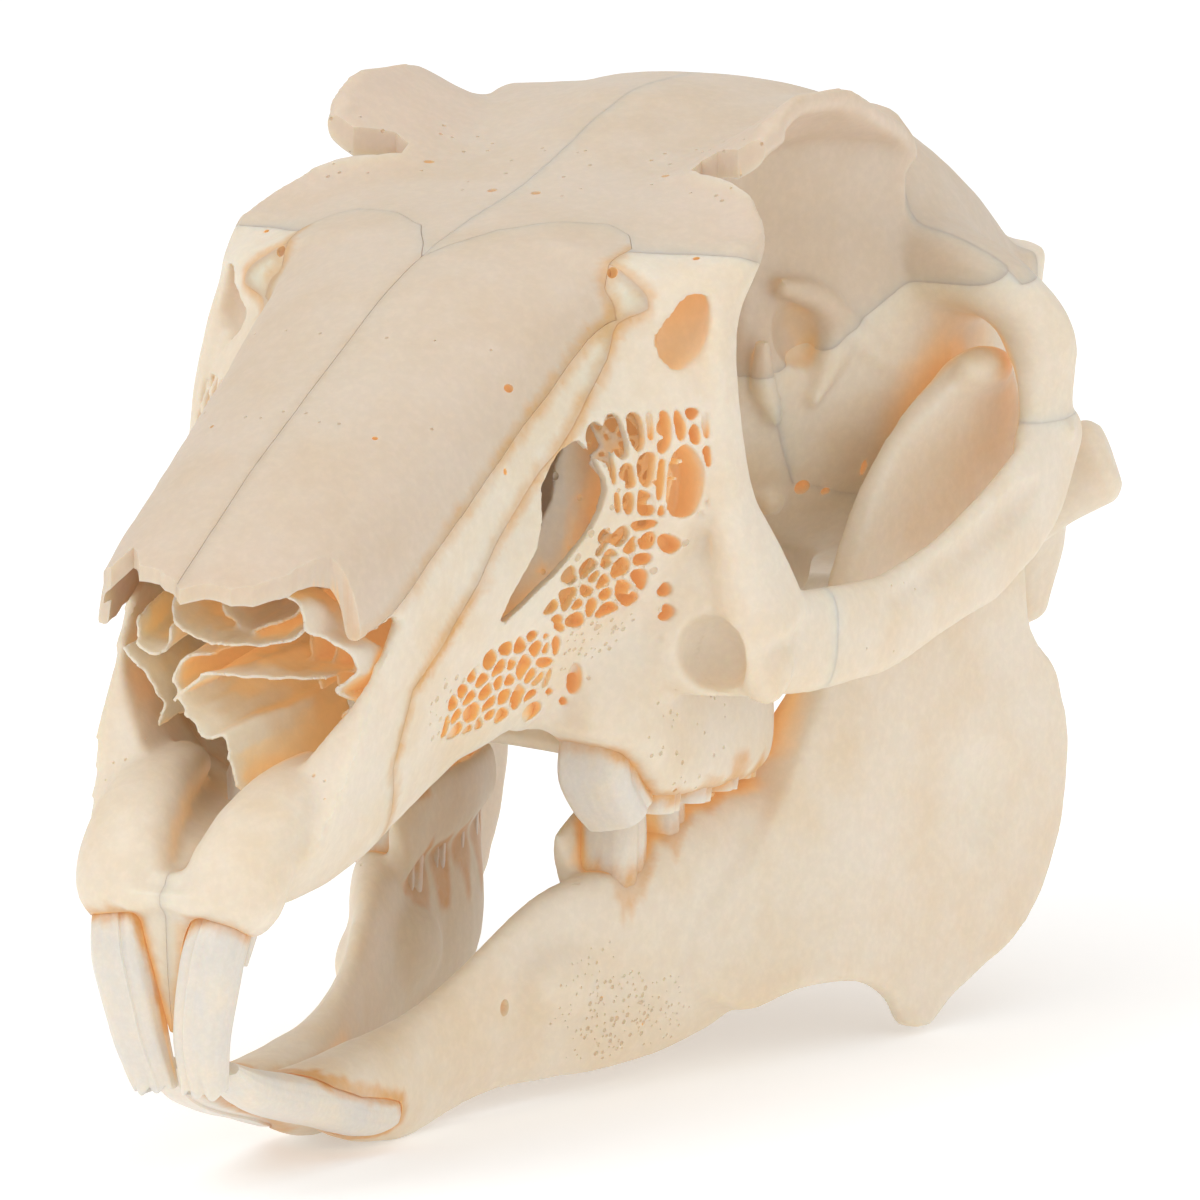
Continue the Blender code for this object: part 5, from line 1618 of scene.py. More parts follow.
@dataclass(frozen=True)
class Scrolls:
    """The thin scrolled plates inside the nose. Each has a front edge and the way that it runs back."""

    thick: float = 0.22
    plates: tuple = (
        (((-1.6, 8.0, 33.6), (-2.2, 7.0, 31.2), (-1.2, 6.6, 29.9), (0.4, 6.6, 29.3), (2.4, 7.2, 29.3),
          (4.4, 8.2, 29.8),
          (6.0, 9.8, 31.0)), (1.2, 14, 4.6)),
        (((-0.2, 8.6, 32.6), (0.4, 8.0, 31.0), (1.6, 8.0, 30.3), (3.4, 8.8, 30.6), (5.0, 9.8, 31.6)),
         (0.6, 12, 4.0)),
        (((-4.6, 7.2, 30.6), (-4.2, 6.4, 29.0), (-3.2, 6.6, 28.5), (-2.6, 7.2, 28.9), (-2.4, 8.0, 30.4)),
         (-0.6, 8, 2.4)),
        (((-2.0, 6.8, 26.1), (-2.6, 7.0, 27.2), (-2.3, 7.2, 28.1), (-1.4, 7.6, 28.7), (-0.2, 8.6, 28.8)),
         (1.4, 9, 1.6)),
        (((-2.0, 6.8, 26.1), (-1.2, 6.9, 27.0), (0.2, 7.1, 27.7), (1.6, 7.6, 27.7), (3.4, 8.6, 27.3),
          (5.4, 10.4, 27.2)),
         (0.8, 9, 1.4)),
        (((-2.0, 6.8, 26.1), (-1.3, 7.0, 25.3), (-0.6, 7.0, 24.7), (0.2, 7.0, 23.9), (1.0, 7.1, 24.1),
          (1.3, 7.1, 22.9),
          (1.5, 7.2, 21.6), (1.9, 7.4, 21.1)), (2.6, 9, 2.6)),
        (((3.5, 12.0, 30.0), (3.7, 12.0, 28.4), (3.9, 12.2, 26.4)), (1.2, 9, 1.2)),
        (((4.5, 12.4, 30.0), (4.7, 12.4, 28.2), (4.9, 12.8, 26.0)), (1.2, 9, 1.2)),
        (((5.5, 12.8, 30.0), (5.7, 12.8, 28.0), (5.9, 13.4, 25.6)), (1.2, 9, 1.2)),
        (((3.0, 6.4, 33.2), (5.2, 7.4, 31.8), (5.7, 8.0, 30.4), (7.2, 9.4, 29.2), (7.5, 10.2, 28.0),
          (6.2, 10.0, 26.8),
          (7.1, 11.0, 26.2), (5.9, 11.4, 24.9), (6.6, 12.4, 24.0)), (0.6, 3.4, -0.1)),
        (((-6.6, 9.0, 28.5), (-5.0, 8.6, 27.2), (-4.2, 9.0, 25.6), (-4.6, 9.6, 24.0)), (0.4, 9, 2.0)))

    def plate(self, k: int, edge: Outline, run: tuple) -> Solid:
        """Builds one thin plate with a ragged front edge.

        Args:
            k: its number, which picks its folds.
            edge: points along its front edge.
            run: how far its back lies from its front.
        Returns:
            The plate.
        """
        count, rows = 70, 26
        front = along(edge, count)
        points = []
        for step in range(rows):
            t = step / (rows - 1)
            points.append(front + np.array(run) * t)
        points = np.concatenate(points)
        t = np.repeat(np.arange(rows) / (rows - 1), count)
        edge = np.tile(front, (rows, 1))
        ragged = 0.32 * lumps(edge, 0.8, 80 + k) + 0.26 * lumps(edge, 0.35, 90 + k)
        points[:, 1] += ragged * (1 - t) ** 2
        for axis in range(3):
            seed = 100 + 7 * k + axis
            points[:, axis] += 0.35 * lumps(points, 3.0, seed) + 0.12 * lumps(points, 1.1, seed + 30)
        faces = [(r * count + i, r * count + i + 1, (r + 1) * count + i + 1, (r + 1) * count + i)
                 for r in range(rows - 1) for i in range(count - 1)]
        plate = solid(f"plate_{k}", points, faces)
        modifier = plate.modifiers.new("Solidify", "SOLIDIFY")
        modifier.thickness = self.thick
        modifier.offset = 0
        return outward(applied(plate))

    def build(self) -> Solid:
        """Builds all plates as one crumpled body."""
        plates = [self.plate(k, edge, run) for k, (edge, run) in enumerate(self.plates)]
        return remeshed(joined("scrolls", plates), 0.13, 2)


@dataclass
class Cranium:
    """The cranium: one form that is cut into its bones along their sutures."""

    snout: Snout = field(default_factory=Snout)
    roof: Roof = field(default_factory=Roof)
    flank: Flank = field(default_factory=Flank)
    seams: Seams = field(default_factory=Seams)
    breaks: Breaks = field(default_factory=Breaks)
    lattice: Lattice = field(default_factory=Lattice)
    holes: tuple = (
        ((8.8, 25.2, 42.0), (0.86, -0.35, 0.37), (0.34, 0.26, 0.5)),
        ((1.4, 42.6, 50.9), (0.03, -0.21, 0.98), (0.3, 0.3, 0.45)),
        ((7.6, 46.6, 51.9), (-0.24, -0.26, 0.93), (0.34, 0.24, 0.45)),
        ((10.6, 34.3, 47.7), (0.5, -0.7, 0.5), (0.3, 0.34, 0.5)),
        ((13.7, 38.5, 48.0), (0.34, -0.19, 0.92), (0.3, 0.22, 0.4)),
        ((5.1, 16.5, 39.9), (0.45, -0.48, 0.76), (0.18, 0.14, 0.3)),
        ((9.5, 23.4, 37.6), (0.96, -0.24, 0.16), (0.16, 0.2, 0.3)),
        ((9.3, 61.1, 32.4), (0.74, -0.52, -0.42), (0.5, 0.5, 1.8)),
        ((10.1, 62.5, 32.1), (0.74, -0.5, -0.45), (0.3, 0.26, 1.2)),
        ((11.8, 64.1, 33.4), (0.8, -0.46, -0.38), (0.22, 0.5, 1.0)),
        ((15.6, 36.4, 27.4), (0.29, -0.96, -0.06), (0.24, 0.3, 1.0)),
        ((15.4, 36.5, 25.6), (0.24, -0.96, -0.13), (0.2, 0.2, 0.8)))
    pitted: tuple = (
        ("premaxilla", (7.0, 7.0, 24.0), 3.0, 0.35, (0.06, 0.12), 81),
        ("nasal", (5.0, 20.0, 42.5), 7.0, 0.10, (0.06, 0.12), 82),
        ("frontal", (6.0, 46.0, 51.5), 8.0, 0.12, (0.07, 0.15), 83),
        ("zygomatic", (20.6, 50.0, 26.5), 4.0, 0.3, (0.06, 0.13), 84),
        ("maxilla", (12.6, 40.0, 20.5), 5.0, 0.5, (0.07, 0.16), 85))

    def form(self) -> Solid:
        """Fuses the forms of the cranium, sinks its hollows and gives its skin the unevenness of bone.

        Returns:
            The solid.
        """
        middle = [self.snout.skin(), *self.roof.forms()]
        middle.append(bar(
            "base_bar",
            [
                (0, 44, 28, 2.6, 4.6), (0, 52, 27.4, 2.2, 3.4), (0, 60, 26.4, 1.8, 3.2),
                (0, 70, 25.6, 2.2, 3.6), (0, 82, 25.4, 1.8, 6.0), (0, 89, 27.5, 1.4, 5.0)]))
        middle.append(bar(
            "palate_bridge",
            [(-8, 42.0, 19.6, 0.9, 3.4), (0, 41.6, 20.2, 0.8, 3.2), (8, 42.0, 19.6, 0.9, 3.4)]))
        body = fuse("cranium", middle + both(self.flank.forms()), GRIT, 14)
        paired = [*self.flank.hollows(), self.snout.gum_arch()]
        for tool in both(paired) + [self.snout.hollow(), self.breaks.mouth_tool()]:
            body = cut(body, tool, Cut.OUTSIDE)
        body = fuse("cranium", [body, *both(self.flank.plugs())], GRIT, 5)
        body = uneven(body, 1.0, 5)
        for tool in both([drill(at, aim, *size) for at, aim, size in self.holes]):
            body = cut(body, tool, Cut.OUTSIDE)
        return body

    def bones(self) -> dict[str, Solid]:
        """Cuts the cranium into its bones.

        Returns:
            The bones by name: the middle ones whole, the others of the left side.
        """
        body = self.form()
        slit = resampled(self.breaks.slit, 1.0)
        for sign in (1, -1):
            body = cut(body, block("slit", slit * (sign, 1), Plane.TOP, 8, 24.5), Cut.OUTSIDE)
        ear = uneven(self.flank.ear(), 0.8, 5)
        bones = {"bulla": ear}
        for pocket in both([swollen(copy_of(ear, "pocket"), SEAM)]):
            body = cut(body, pocket, Cut.OUTSIDE)
        seams = self.seams
        bones["occipital"], body = part_off(
            body, "occipital", winding(seams.occiput, 0.25, 1.5, 11), Plane.FLANK, -30, 30, 0.006)
        bones["palate"], body = part_off(
            body, "palate", winding(seams.palate, 0.1, 1.5, 12), Plane.FLANK, -7.2, 7.2, 0.006)
        half = np.array([(-9, -9), (99, -9), (99, 99), (-9, 99)], float)
        body = cut(body, block("half", half, Plane.FLANK, -0.005, 40), Cut.INSIDE)
        body = cut(body, block("notch", winding(self.breaks.notch, 0.1, 0.8, 13), Plane.TOP, 50.8, 60),
                   Cut.OUTSIDE)
        bones["nasal"], body = self.nasal(body)
        for name, outline, low, swing, seed, gap in (
                ("zygomatic", seams.cheek, 16.0, 0.2, 21, 0.006),
                ("frontal", seams.frontal, 0.01, 0.3, 22, 0.006),
                ("parietal", seams.parietal, 0.01, 0.4, 23, 0.006),
                ("temporal", seams.temporal, 9.0, 0.3, 24, 0.006),
                ("premaxilla", seams.premaxilla, 0.01, 0.2, 25, 0.03),
                ("maxilla", seams.maxilla, 0.01, 0.2, 26, 0.02)):
            bones[name], body = part_off(
                body, name, winding(outline, swing, 1.4, seed), Plane.FLANK, low, 30, gap)
        bones["sphenoid"] = largest(cut(body, mirrored(body), Cut.BOTH))
        bones["maxilla"] = self.lattice.carve(bones["maxilla"])
        for name, centre, reach, density, radii, seed in self.pitted:
            bones[name] = Pores().pit(bones[name], centre, reach, density, radii, seed)
        return bones

    def nasal(self, body: Solid) -> tuple[Solid, Solid]:
        """Cuts a nasal bone along its outlines from above and from the side.

        Args:
            body: the left half of the cranium.
        Returns:
            The nasal and what is left of the body.
        """
        above = winding(self.seams.nasal, 0.3, 1.25, 27)
        above[(above[:, 0] < 0.8) & (above[:, 1] < 31), 0] = 0.02
        beside = winding(self.seams.nasal_side, 0.08, 1.4, 28)

        def tool(margin: float) -> Solid:
            """The space that holds the bone, grown by a margin."""
            return cut(block("nasal_above", above, Plane.TOP, 20, 62, margin),
                       block("nasal_beside", beside, Plane.FLANK, -2, 20, margin), Cut.INSIDE)

        bone = cut(copy_of(body, "nasal"), tool(0), Cut.INSIDE)
        return largest(bone), cut(body, tool(0.03), Cut.OUTSIDE)


@dataclass(frozen=True)
class LowerJaw:
    """One side of the lower jaw."""

    top: Keys = (
        (8, 5.0), (12, 4.9), (17, 5.1), (21, 5.5), (24, 6.0), (28.6, 7.8), (30.5, 8.8), (33, 10.5),
        (35.8, 12.0), (38, 12.6), (41.5, 13.0), (43.5, 14.4), (46, 15.6), (50, 16.4), (57, 17.2))
    low: Keys = (
        (8, 4.4), (11, 3.1), (14, 2.0), (16.9, 0.9), (19.9, -0.3), (22.2, -0.7), (24.4, -0.9), (26.7, -0.5),
        (28.9, 0.0), (33, 0.7), (39.7, 0.9), (44.2, 1.2), (48.4, 2.0), (51.8, 3.4), (57, 4.2))
    out: Keys = (
        (8, 3.0), (12, 3.8), (16, 4.2), (20, 4.3), (24, 4.1), (28, 4.3), (32, 5.0), (36, 6.9), (40, 8.9),
        (44, 10.2), (48, 11.4), (52, 12.9), (57, 14.8))
    inner: Keys = (
        (8, -0.6), (20, -0.6), (22, 0.0), (25, 1.0), (28, 1.9), (32, 3.0), (36, 3.9), (40, 4.9), (44, 5.4),
        (48, 5.9), (52, 6.8), (57, 10.2))
    plate: Outline = (
        (45, 7), (50.2, 14), (53.4, 20), (55.2, 25), (56.8, 30), (59.2, 34.2), (62, 36.9), (65, 38.8),
        (66.5, 39.8), (69.8, 39.5), (71.4, 37.4), (72.3, 34), (72.9, 29), (73.2, 25), (73.8, 22.8),
        (76.0, 20.9), (77.1, 18.2), (77.2, 14.0), (76.2, 10.2), (74.3, 7.2), (71.8, 4.8), (68.6, 3.2),
        (66, 1.9), (63.8, 0.6), (62.4, 0.9), (61.2, 2.4), (58.2, 4.0), (54, 4.4), (48, 3.8))

    holes: tuple = (
        ((5.8, 32.0, 5.7), (0.95, -0.3, -0.05), (0.42, 0.6, 1.4)),
        ((-5.1, 36.9, 12.1), (0.88, 0.11, 0.45), (0.3, 0.24, 0.6)),
        ((7.2, 37.2, 12.4), (0.73, -0.5, 0.46), (0.4, 0.14, 0.5)))
    pitted: tuple = (
        ((8.5, 39.9, 4.4), 2.6, 6.0, (0.07, 0.17), 91), ((8.2, 38.0, 5.2), 3.6, 2.0, (0.05, 0.11), 92),
        ((9.6, 43.2, 4.3), 2.4, 3.0, (0.05, 0.12), 93))

    def body(self) -> Solid:
        """Builds the bar that holds the teeth.

        Returns:
            The solid.
        """
        rings = []
        for y in np.linspace(7.6, 57, 50):
            top, low, out, inner = (keyed(keys, y) for keys in (self.top, self.low, self.out, self.inner))
            lean = keyed(((8, 0.0), (28, 0.2), (40, 1.0), (57, 0.8)), y)
            power = keyed(((8, 2.0), (26, 2.1), (40, 2.8)), y)
            ring = []
            for i in range(32):
                a = 2 * math.pi * i / 32
                c, s = math.cos(a), math.sin(a)
                r = (abs(c) ** power + abs(s) ** power) ** (-1 / power)
                ring.append(((out + inner) / 2 + (out - inner) / 2 * r * c + lean * s * 0.6, y,
                             (top + low) / 2 + (top - low) / 2 * r * s))
            rings.append(ring)
        return outward(loft("jaw_body", rings))

    def form(self) -> Solid:
        """Fuses the body of the jaw with its broad rear plate.

        Returns:
            The solid.
        """
        plate = slab("jaw_plate", self.plate, Plane.FLANK, 8.0, 0.4, 6)

        def place(x: np.ndarray, y: np.ndarray, z: np.ndarray) -> tuple:
            """Bends and thins the plate.

            Args:
                x: where the points lie across the plate.
                y: their y.
                z: their z.
            Returns:
                Their new x, y and z.
            """
            middle = keyed((
                (45, 8.8), (52, 12.2), (57, 14.4), (62, 15.6), (68, 17.0), (74, 17.9), (80, 18.3)), y)
            flare = keyed(((0, -0.5), (8, 0.4), (16, 0.5), (24, 0.1), (30, 0.2), (38, 0.3)), z)
            middle = middle + flare * keyed(((50, 0), (60, 0.4), (70, 1), (84, 1)), y)
            thick = keyed(((45, 4.0), (52, 2.6), (57, 1.8), (62, 1.3), (84, 1.0)), y)
            edge = keyed(((0, 1.8), (3, 1.1), (34, 1.0), (39, 1.8)), z)
            return middle + x / 8.0 * thick * edge, y, z

        jaw = fuse("mandible", [
            self.body(), warp(plate, place), blob("jaw_head", (17.8, 67.6, 39.2), (1.5, 2.9, 1.3)),
            bar("rear_ridge", [
                (9.6, 52.5, 13.0, 2.0, 1.5), (11.0, 54.4, 17.5, 2.1, 1.2), (12.4, 56.6, 21.5, 1.9, 1.0),
                (13.6, 58.4, 26, 1.4, 0.9)], up=(0, 1, 0)),
            blob("root_bulge", (5.9, 38.8, 6.9), (2.1, 5.4, 3.0)),
            blob("crest_knob", (4.5, 32.4, 9.3), (0.6, 0.9, 0.8)),
            bar("tongue_wall", [
                (5.3, 38.5, 13.0, 2.0, 0.6), (5.5, 42, 14.4, 2.2, 0.6), (6.0, 48, 15, 2.0, 0.6),
                (7.4, 54, 15.6, 1.8, 0.6)])], 0.28, 12)
        groove = bar("ramus_groove", [
            (16.6, 57.6, 25.5, 0.5, 0.6), (17.3, 60.0, 29.5, 1.0, 0.8), (18.1, 63.4, 33.6, 1.1, 0.8),
            (18.6, 66.0, 36.6, 0.6, 0.6)], up=(0, 1, 0))
        jaw = cut(jaw, groove, Cut.OUTSIDE)
        jaw = remeshed(cut(jaw, blob("jaw_hollow", (24.1, 66, 14), (6.8, 9, 9)), Cut.OUTSIDE), 0.28, 5)
        return uneven(jaw, 1.0, 9)

    def bone(self) -> Solid:
        """Cuts the jaw at the midline and opens the socket of its incisor.

        Returns:
            The solid.
        """
        half = np.array([(-9, -9), (99, -9), (99, 99), (-9, 99)], float)
        jaw = cut(self.form(), block("middle", half, Plane.FLANK, SEAM / 2, 40), Cut.INSIDE)
        jaw = cut(jaw, FrontTeeth().lower(SEAM), Cut.OUTSIDE)
        for at, aim, size in self.holes:
            jaw = cut(jaw, drill(at, aim, *size), Cut.OUTSIDE)
        for centre, reach, density, radii, seed in self.pitted:
            jaw = Pores().pit(jaw, centre, reach, density, radii, seed)
        return largest(jaw)


@dataclass(frozen=True)
class FrontTeeth:
    """The incisors and the small peg teeth behind the upper ones."""

    upper_rows: Outline = (
        (3.8, 7.6, 16.6, 0.6, 0.8), (3.6, 5.2, 15.9, 1.0, 1.3), (3.2, 3.5, 14.6, 1.25, 1.6),
        (2.7, 2.6, 12.2, 1.3, 1.7), (2.0, 2.5, 8.8, 1.2, 1.55), (1.5, 3.2, 5.2, 0.7, 1.3))
    lower_rows: Outline = (
        (1.8, 5.0, 6.3, 0.4, 1.2), (1.95, 8, 4.7, 1.1, 1.5), (2.15, 11.4, 3.7, 1.3, 1.7),
        (2.4, 15, 2.8, 1.35, 1.75), (2.7, 18.5, 1.8, 1.35, 1.75), (3.0, 21.2, 1.4, 1.05, 1.35),
        (3.1, 22.6, 1.3, 0.35, 0.5))
    peg_rows: Outline = (
        (1.6, 11.4, 18.0, 0.5, 0.6), (1.6, 9.8, 15.8, 0.7, 0.7), (1.6, 8.4, 13.4, 0.6, 0.6),
        (1.6, 7.6, 11.6, 0.3, 0.45))

    @staticmethod
    def striped(a: float, t: float) -> float:
        """Shallow stripes and one groove along a tooth, by angle and way along it."""
        groove = 0.09 * math.exp(-(((a - 3.5) % (2 * math.pi)) / 0.22) ** 2)
        return 1 + 0.012 * math.sin(13 * a + 1.3 * math.sin(5 * t)) + 0.008 * math.sin(29 * a) - groove

    @staticmethod
    def lobed(x: np.ndarray, y: np.ndarray, z: np.ndarray) -> tuple:
        """Gives the biting end of an upper incisor its three low lobes."""
        return x, y, z + np.clip((6.6 - z) / 1.4, 0, 1) * (0.3 - 0.42 * np.abs(np.sin(3.3 * x - 0.9)))

    def upper(self, grow: float = 0.0, lean: float = 0.0) -> Solid:
        """Builds an upper incisor, curved down and back from its socket.

        Args:
            grow: how much larger it is made, for its socket.
            lean: how far the pair leans to the animal's right.
        Returns:
            The solid.
        """
        rows = [(x - lean * (z - 10) / 12, y, z, deep + grow, wide + grow)
                for x, y, z, deep, wide in self.upper_rows]
        tooth = bar("upper_incisor", rows, 60, 72, 3.0, (0, 1, 0), None if grow else self.striped)
        return tooth if grow else warp(tooth, self.lobed)

    def lower(self, grow: float = 0.0) -> Solid:
        """Builds a lower incisor, nearly level, with its root in the jaw."""
        rows = [(x, y, z, deep + grow, wide + grow) for x, y, z, deep, wide in self.lower_rows]
        return bar("lower_incisor", rows, 50, 72, 2.6, (0, 0, 1), None if grow else self.striped)

    def peg(self, grow: float = 0.0) -> Solid:
        """Builds a peg tooth."""
        rows = [(x, y, z, deep + grow, wide + grow) for x, y, z, deep, wide in self.peg_rows]
        return bar("peg_tooth", rows, 20, 24, 2.4, (0, 1, 0))


@dataclass(frozen=True)
class CheekTeeth:
    """The rows of cheek teeth.

    Each tooth is y, x, half length, half width and the crown's end, and how far back and out that end stands.
    """

    upper: Outline = (
        (35.8, 9.1, 1.7, 2.1, 16.6, 1.6, 0.6), (39.4, 9.9, 1.4, 2.3, 16.5, 0.1, 0),
        (42.4, 10.2, 1.4, 2.5, 16.7, 0, 0), (45.4, 10.4, 1.4, 2.5, 17.0, 0, 0),
        (48.2, 10.4, 1.2, 2.3, 17.3, 0, 0), (50.3, 10.2, 0.7, 1.1, 17.7, 0, 0))
    lower: Outline = (
        (41.3, 7.2, 1.8, 1.7, 16.0, 0.2, 0), (45.0, 7.8, 1.4, 1.9, 16.0, 0, 0),
        (48.1, 8.2, 1.3, 1.9, 16.2, 0, 0), (51.0, 8.7, 1.25, 1.8, 16.5, 0, 0),
        (53.5, 9.3, 0.9, 1.4, 16.9, 0, 0))

    def row(self, rows: Outline, root: float) -> list[Solid]:
        """Builds the teeth of one row.

        Args:
            rows: the sizes of the teeth.
            root: the height of the roots' ends.
        Returns:
            The solids, from front to back.
        """
        def folded(a: float, t: float) -> float:
            """The grooves down both sides of a tooth."""
            waist = 0.16 * (abs(math.cos(a)) ** 6) - 0.10 * math.exp(-((math.sin(a) / 0.16) ** 2))
            return 0.96 + waist + 0.01 * math.sin(17 * a)

        return [bar(
            "cheek_tooth",
            [
                (x - 0.2, y, root, wide * 0.82, long * 0.9), (x, y, (root + end) / 2, wide * 0.98, long),
                (x + shift * 0.35, y + back * 0.4, (root + 3 * end) / 4, wide * 0.97, long * 0.98),
                (x + shift, y + back, end, wide * 0.92, long * 0.90)], 18, 64, 4.0, (1, 0, 0), folded
        ) for y, x, long, wide, end, back, shift in rows]


@dataclass
class Piece:
    """A finished piece: its mesh, the CAD node that it stands for, and its finish."""

    name: str
    mesh: Solid
    finish: BoneFinish
    node: str = ""
    stain: float = 1.0

    def named(self) -> None:
        """Gives the mesh object the piece's name."""
        self.mesh.name = self.name
        self.mesh.data.name = self.name


def relax(values: np.ndarray, pairs: np.ndarray, rounds: int) -> np.ndarray:
    """Averages values over a mesh's edges.

    Args:
        values: a value for each point.
        pairs: the point numbers of each edge.
        rounds: how often.
    Returns:
        The new values.
    """
    count = np.bincount(pairs.ravel(), minlength=len(values)) + 1.0
    for _ in range(rounds):
        total = values + np.bincount(pairs[:, 0], values[pairs[:, 1]], len(values))
        total += np.bincount(pairs[:, 1], values[pairs[:, 0]], len(values))
        values = total / count
    return values


@dataclass
class Weathering:
    """Marks on every piece how deep in recesses each point lies, for painted shade and a painted glow, and how
    near it is to a stained suture.
    """

    reach: float = 9.0
    rays: int = 12
    share: int = 3
    near: float = 0.24

    def paint(self, pieces: Sequence[Piece]) -> None:
        """Writes the attributes depth, a mask of how hidden each point is that the material uses for painted
        shade and glow, and seam.

        Args:
            pieces: all pieces, before they are settled.
        """
        tree = tree_of([piece.mesh for piece in pieces])
        spread = np.random.default_rng(7).normal(size=(self.rays, 3))
        spread /= np.linalg.norm(spread, axis=1)[:, None]
        stained = [piece for piece in pieces if piece.stain]
        crowded = self.crowded([corners(piece.mesh) for piece in stained])
        crowd = dict(zip((piece.name for piece in stained), crowded))
        for piece in pieces:
            co, facing, pairs = corners(piece.mesh), normals(piece.mesh), edge_pairs(piece.mesh.data)
            hidden, known = np.zeros(len(co)), np.zeros(len(co))
            for i in range(0, len(co), self.share):
                n = Vector(facing[i])
                start = Vector(co[i]) + n * 0.12
                total = 0.0
                for ray in spread:
                    far = tree.ray_cast(start, (Vector(ray) + n * 1.05).normalized(), self.reach)[3]
                    if far is not None:
                        total += 1 - (far / self.reach) ** 2
                hidden[i], known[i] = total / self.rays, 1.0
            # depth: the share of rays that soon meet a surface, which the material turns into painted shade
            depth = relax(hidden, pairs, 4) / np.maximum(relax(known, pairs, 4), 1e-6)
            self.write(piece.mesh, "depth", depth)
            seam = crowd.get(piece.name, np.zeros(len(co))) * piece.stain
            self.write(piece.mesh, "seam", relax(seam * np.clip(np.abs(co[:, 0]) / 0.5, 0.25, 1), pairs, 1))

    def crowded(self, clouds: Sequence[np.ndarray]) -> list[np.ndarray]:
        """Finds the points that lie close to another piece.

        Args:
            clouds: the points of each piece.
        Returns:
            For each piece, 1 for such a point and 0 for others.
        """
        def keys(points: np.ndarray) -> np.ndarray:
            """The number of the grid cell that holds each point."""
            cell = np.floor(points / self.near).astype(np.int64) + 1024
            return (cell[..., 0] * 4096 + cell[..., 1]) * 4096 + cell[..., 2]

        steps = (-1, 0, 1)
        offsets = self.near * np.array([(i, j, k) for i in steps for j in steps for k in steps])
        reach = [np.unique(keys(cloud[:, None] + offsets)) for cloud in clouds]
        cells, counts = np.unique(np.concatenate(reach), return_counts=True)
        shared = cells[counts > 1]
        return [np.isin(keys(cloud), shared).astype(float) for cloud in clouds]

    @staticmethod
    def write(obj: Solid, name: str, values: np.ndarray) -> None:
        """Stores a value at each point of a mesh."""
        attribute = obj.data.attributes.new(name, "FLOAT", "POINT")
        attribute.data.foreach_set("value", values.astype(np.float32))


@dataclass
class Skull:
    """The whole skull: its bones, its teeth, and the CAD nodes that they stand for."""

    cranium: Cranium = field(default_factory=Cranium)
    jaw: LowerJaw = field(default_factory=LowerJaw)
    front: FrontTeeth = field(default_factory=FrontTeeth)
    cheek: CheekTeeth = field(default_factory=CheekTeeth)
    stains: dict = field(default_factory=lambda: {
        "nasal": 0.9, "premaxilla": 0.8, "maxilla": 1.0, "mandible": 1.0})
    pieces: list[Piece] = field(default_factory=list)

    def build(self) -> None:
        """Makes all pieces in the animal's own frame."""
        bones = self.cranium.bones()
        bones["mandible"] = self.jaw.bone()
        for name in ("occipital", "palate", "sphenoid"):
            self.keep(name, bones.pop(name), BONE, 0.0)
        for side in Side:
            for name, bone in bones.items():
                made = mirrored(bone) if side is Side.RIGHT else copy_of(bone, name)
                if name == "nasal":
                    made = self.cranium.breaks.open_nose(made)
                if name == "premaxilla":
                    made = cut(made, self.turned(self.front.upper(SEAM, 0.9 * side.value), side), Cut.OUTSIDE)
                    made = cut(made, self.turned(self.front.peg(SEAM), side), Cut.OUTSIDE)
                finish = ROOF_BONE if name in ("nasal", "frontal", "parietal") else BONE
                self.keep(f"{name}_{side.word}", largest(made), finish, self.stains.get(name, 0.0))
            self.teeth(side)
        for bone in bones.values():
            bpy.data.objects.remove(bone)
        self.keep("nose_scrolls", Scrolls().build(), BONE, 0.0, False)

    @staticmethod
    def turned(obj: Solid, side: Side) -> Solid:
        """Puts a left solid on its side.

        Args:
            obj: the solid as it stands on the left, which is replaced.
            side: where it goes.
        Returns:
            The solid.
        """
        if side is Side.LEFT:
            return obj
        made = mirrored(obj)
        bpy.data.objects.remove(obj)
        return made

    def teeth(self, side: Side) -> None:
        """Makes the teeth of one side.

        Args:
            side: the side.
        """
        for name, obj in (("upper_incisor", self.front.upper(0.0, 0.9 * side.value)),
                          ("lower_incisor", self.front.lower()),
                          ("peg_tooth", self.front.peg())):
            self.keep(f"{name}_{side.word}", uneven(self.turned(obj, side), 0.25, 33), ENAMEL, 1.0)
        for row, rows, root in (("upper", self.cheek.upper, 21.5), ("lower", self.cheek.lower, 9.0)):
            for k, obj in enumerate(self.cheek.row(rows, root)):
                tooth = uneven(self.turned(obj, side), 0.2, 34 + k)
                self.keep(f"{row}_cheek_tooth_{k + 1}_{side.word}", tooth, ENAMEL, 1.0, False)

    def keep(self, name: str, mesh: Solid, finish: BoneFinish, stain: float, node: bool = True) -> None:
        """Adds a piece.

        Args:
            name: the name of its CAD node, or of the piece where it has none.
            mesh: its solid.
            finish: its finish.
            stain: how strongly its sutures are stained.
            node: whether it stands for a CAD node.
        """
        mesh = thinned(mesh, MOST_TRIANGLES)
        piece = Piece(f"bone_{name}" if node else name, mesh, finish, name if node else "", stain)
        piece.named()
        self.pieces.append(piece)
        LOG.info("%s: %d faces", piece.name, len(piece.mesh.data.polygons))

    def settle(self) -> None:
        """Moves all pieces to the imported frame, dresses them and fixes them to the body."""
        place = Matrix.Scale(MM, 4) @ Matrix.Translation(SHIFT) @ Matrix.Rotation(math.radians(-NOD), 4, "X")
        for piece in self.pieces:
            mesh = piece.mesh.data
            mesh.transform(place)
            mesh.shade_smooth()
            mesh.set_sharp_from_angle(angle=math.radians(42))
            mesh.materials.clear()
            mesh.materials.append(piece.finish.material())
            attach(piece.mesh, "root")
            if piece.node:
                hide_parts(piece.node)


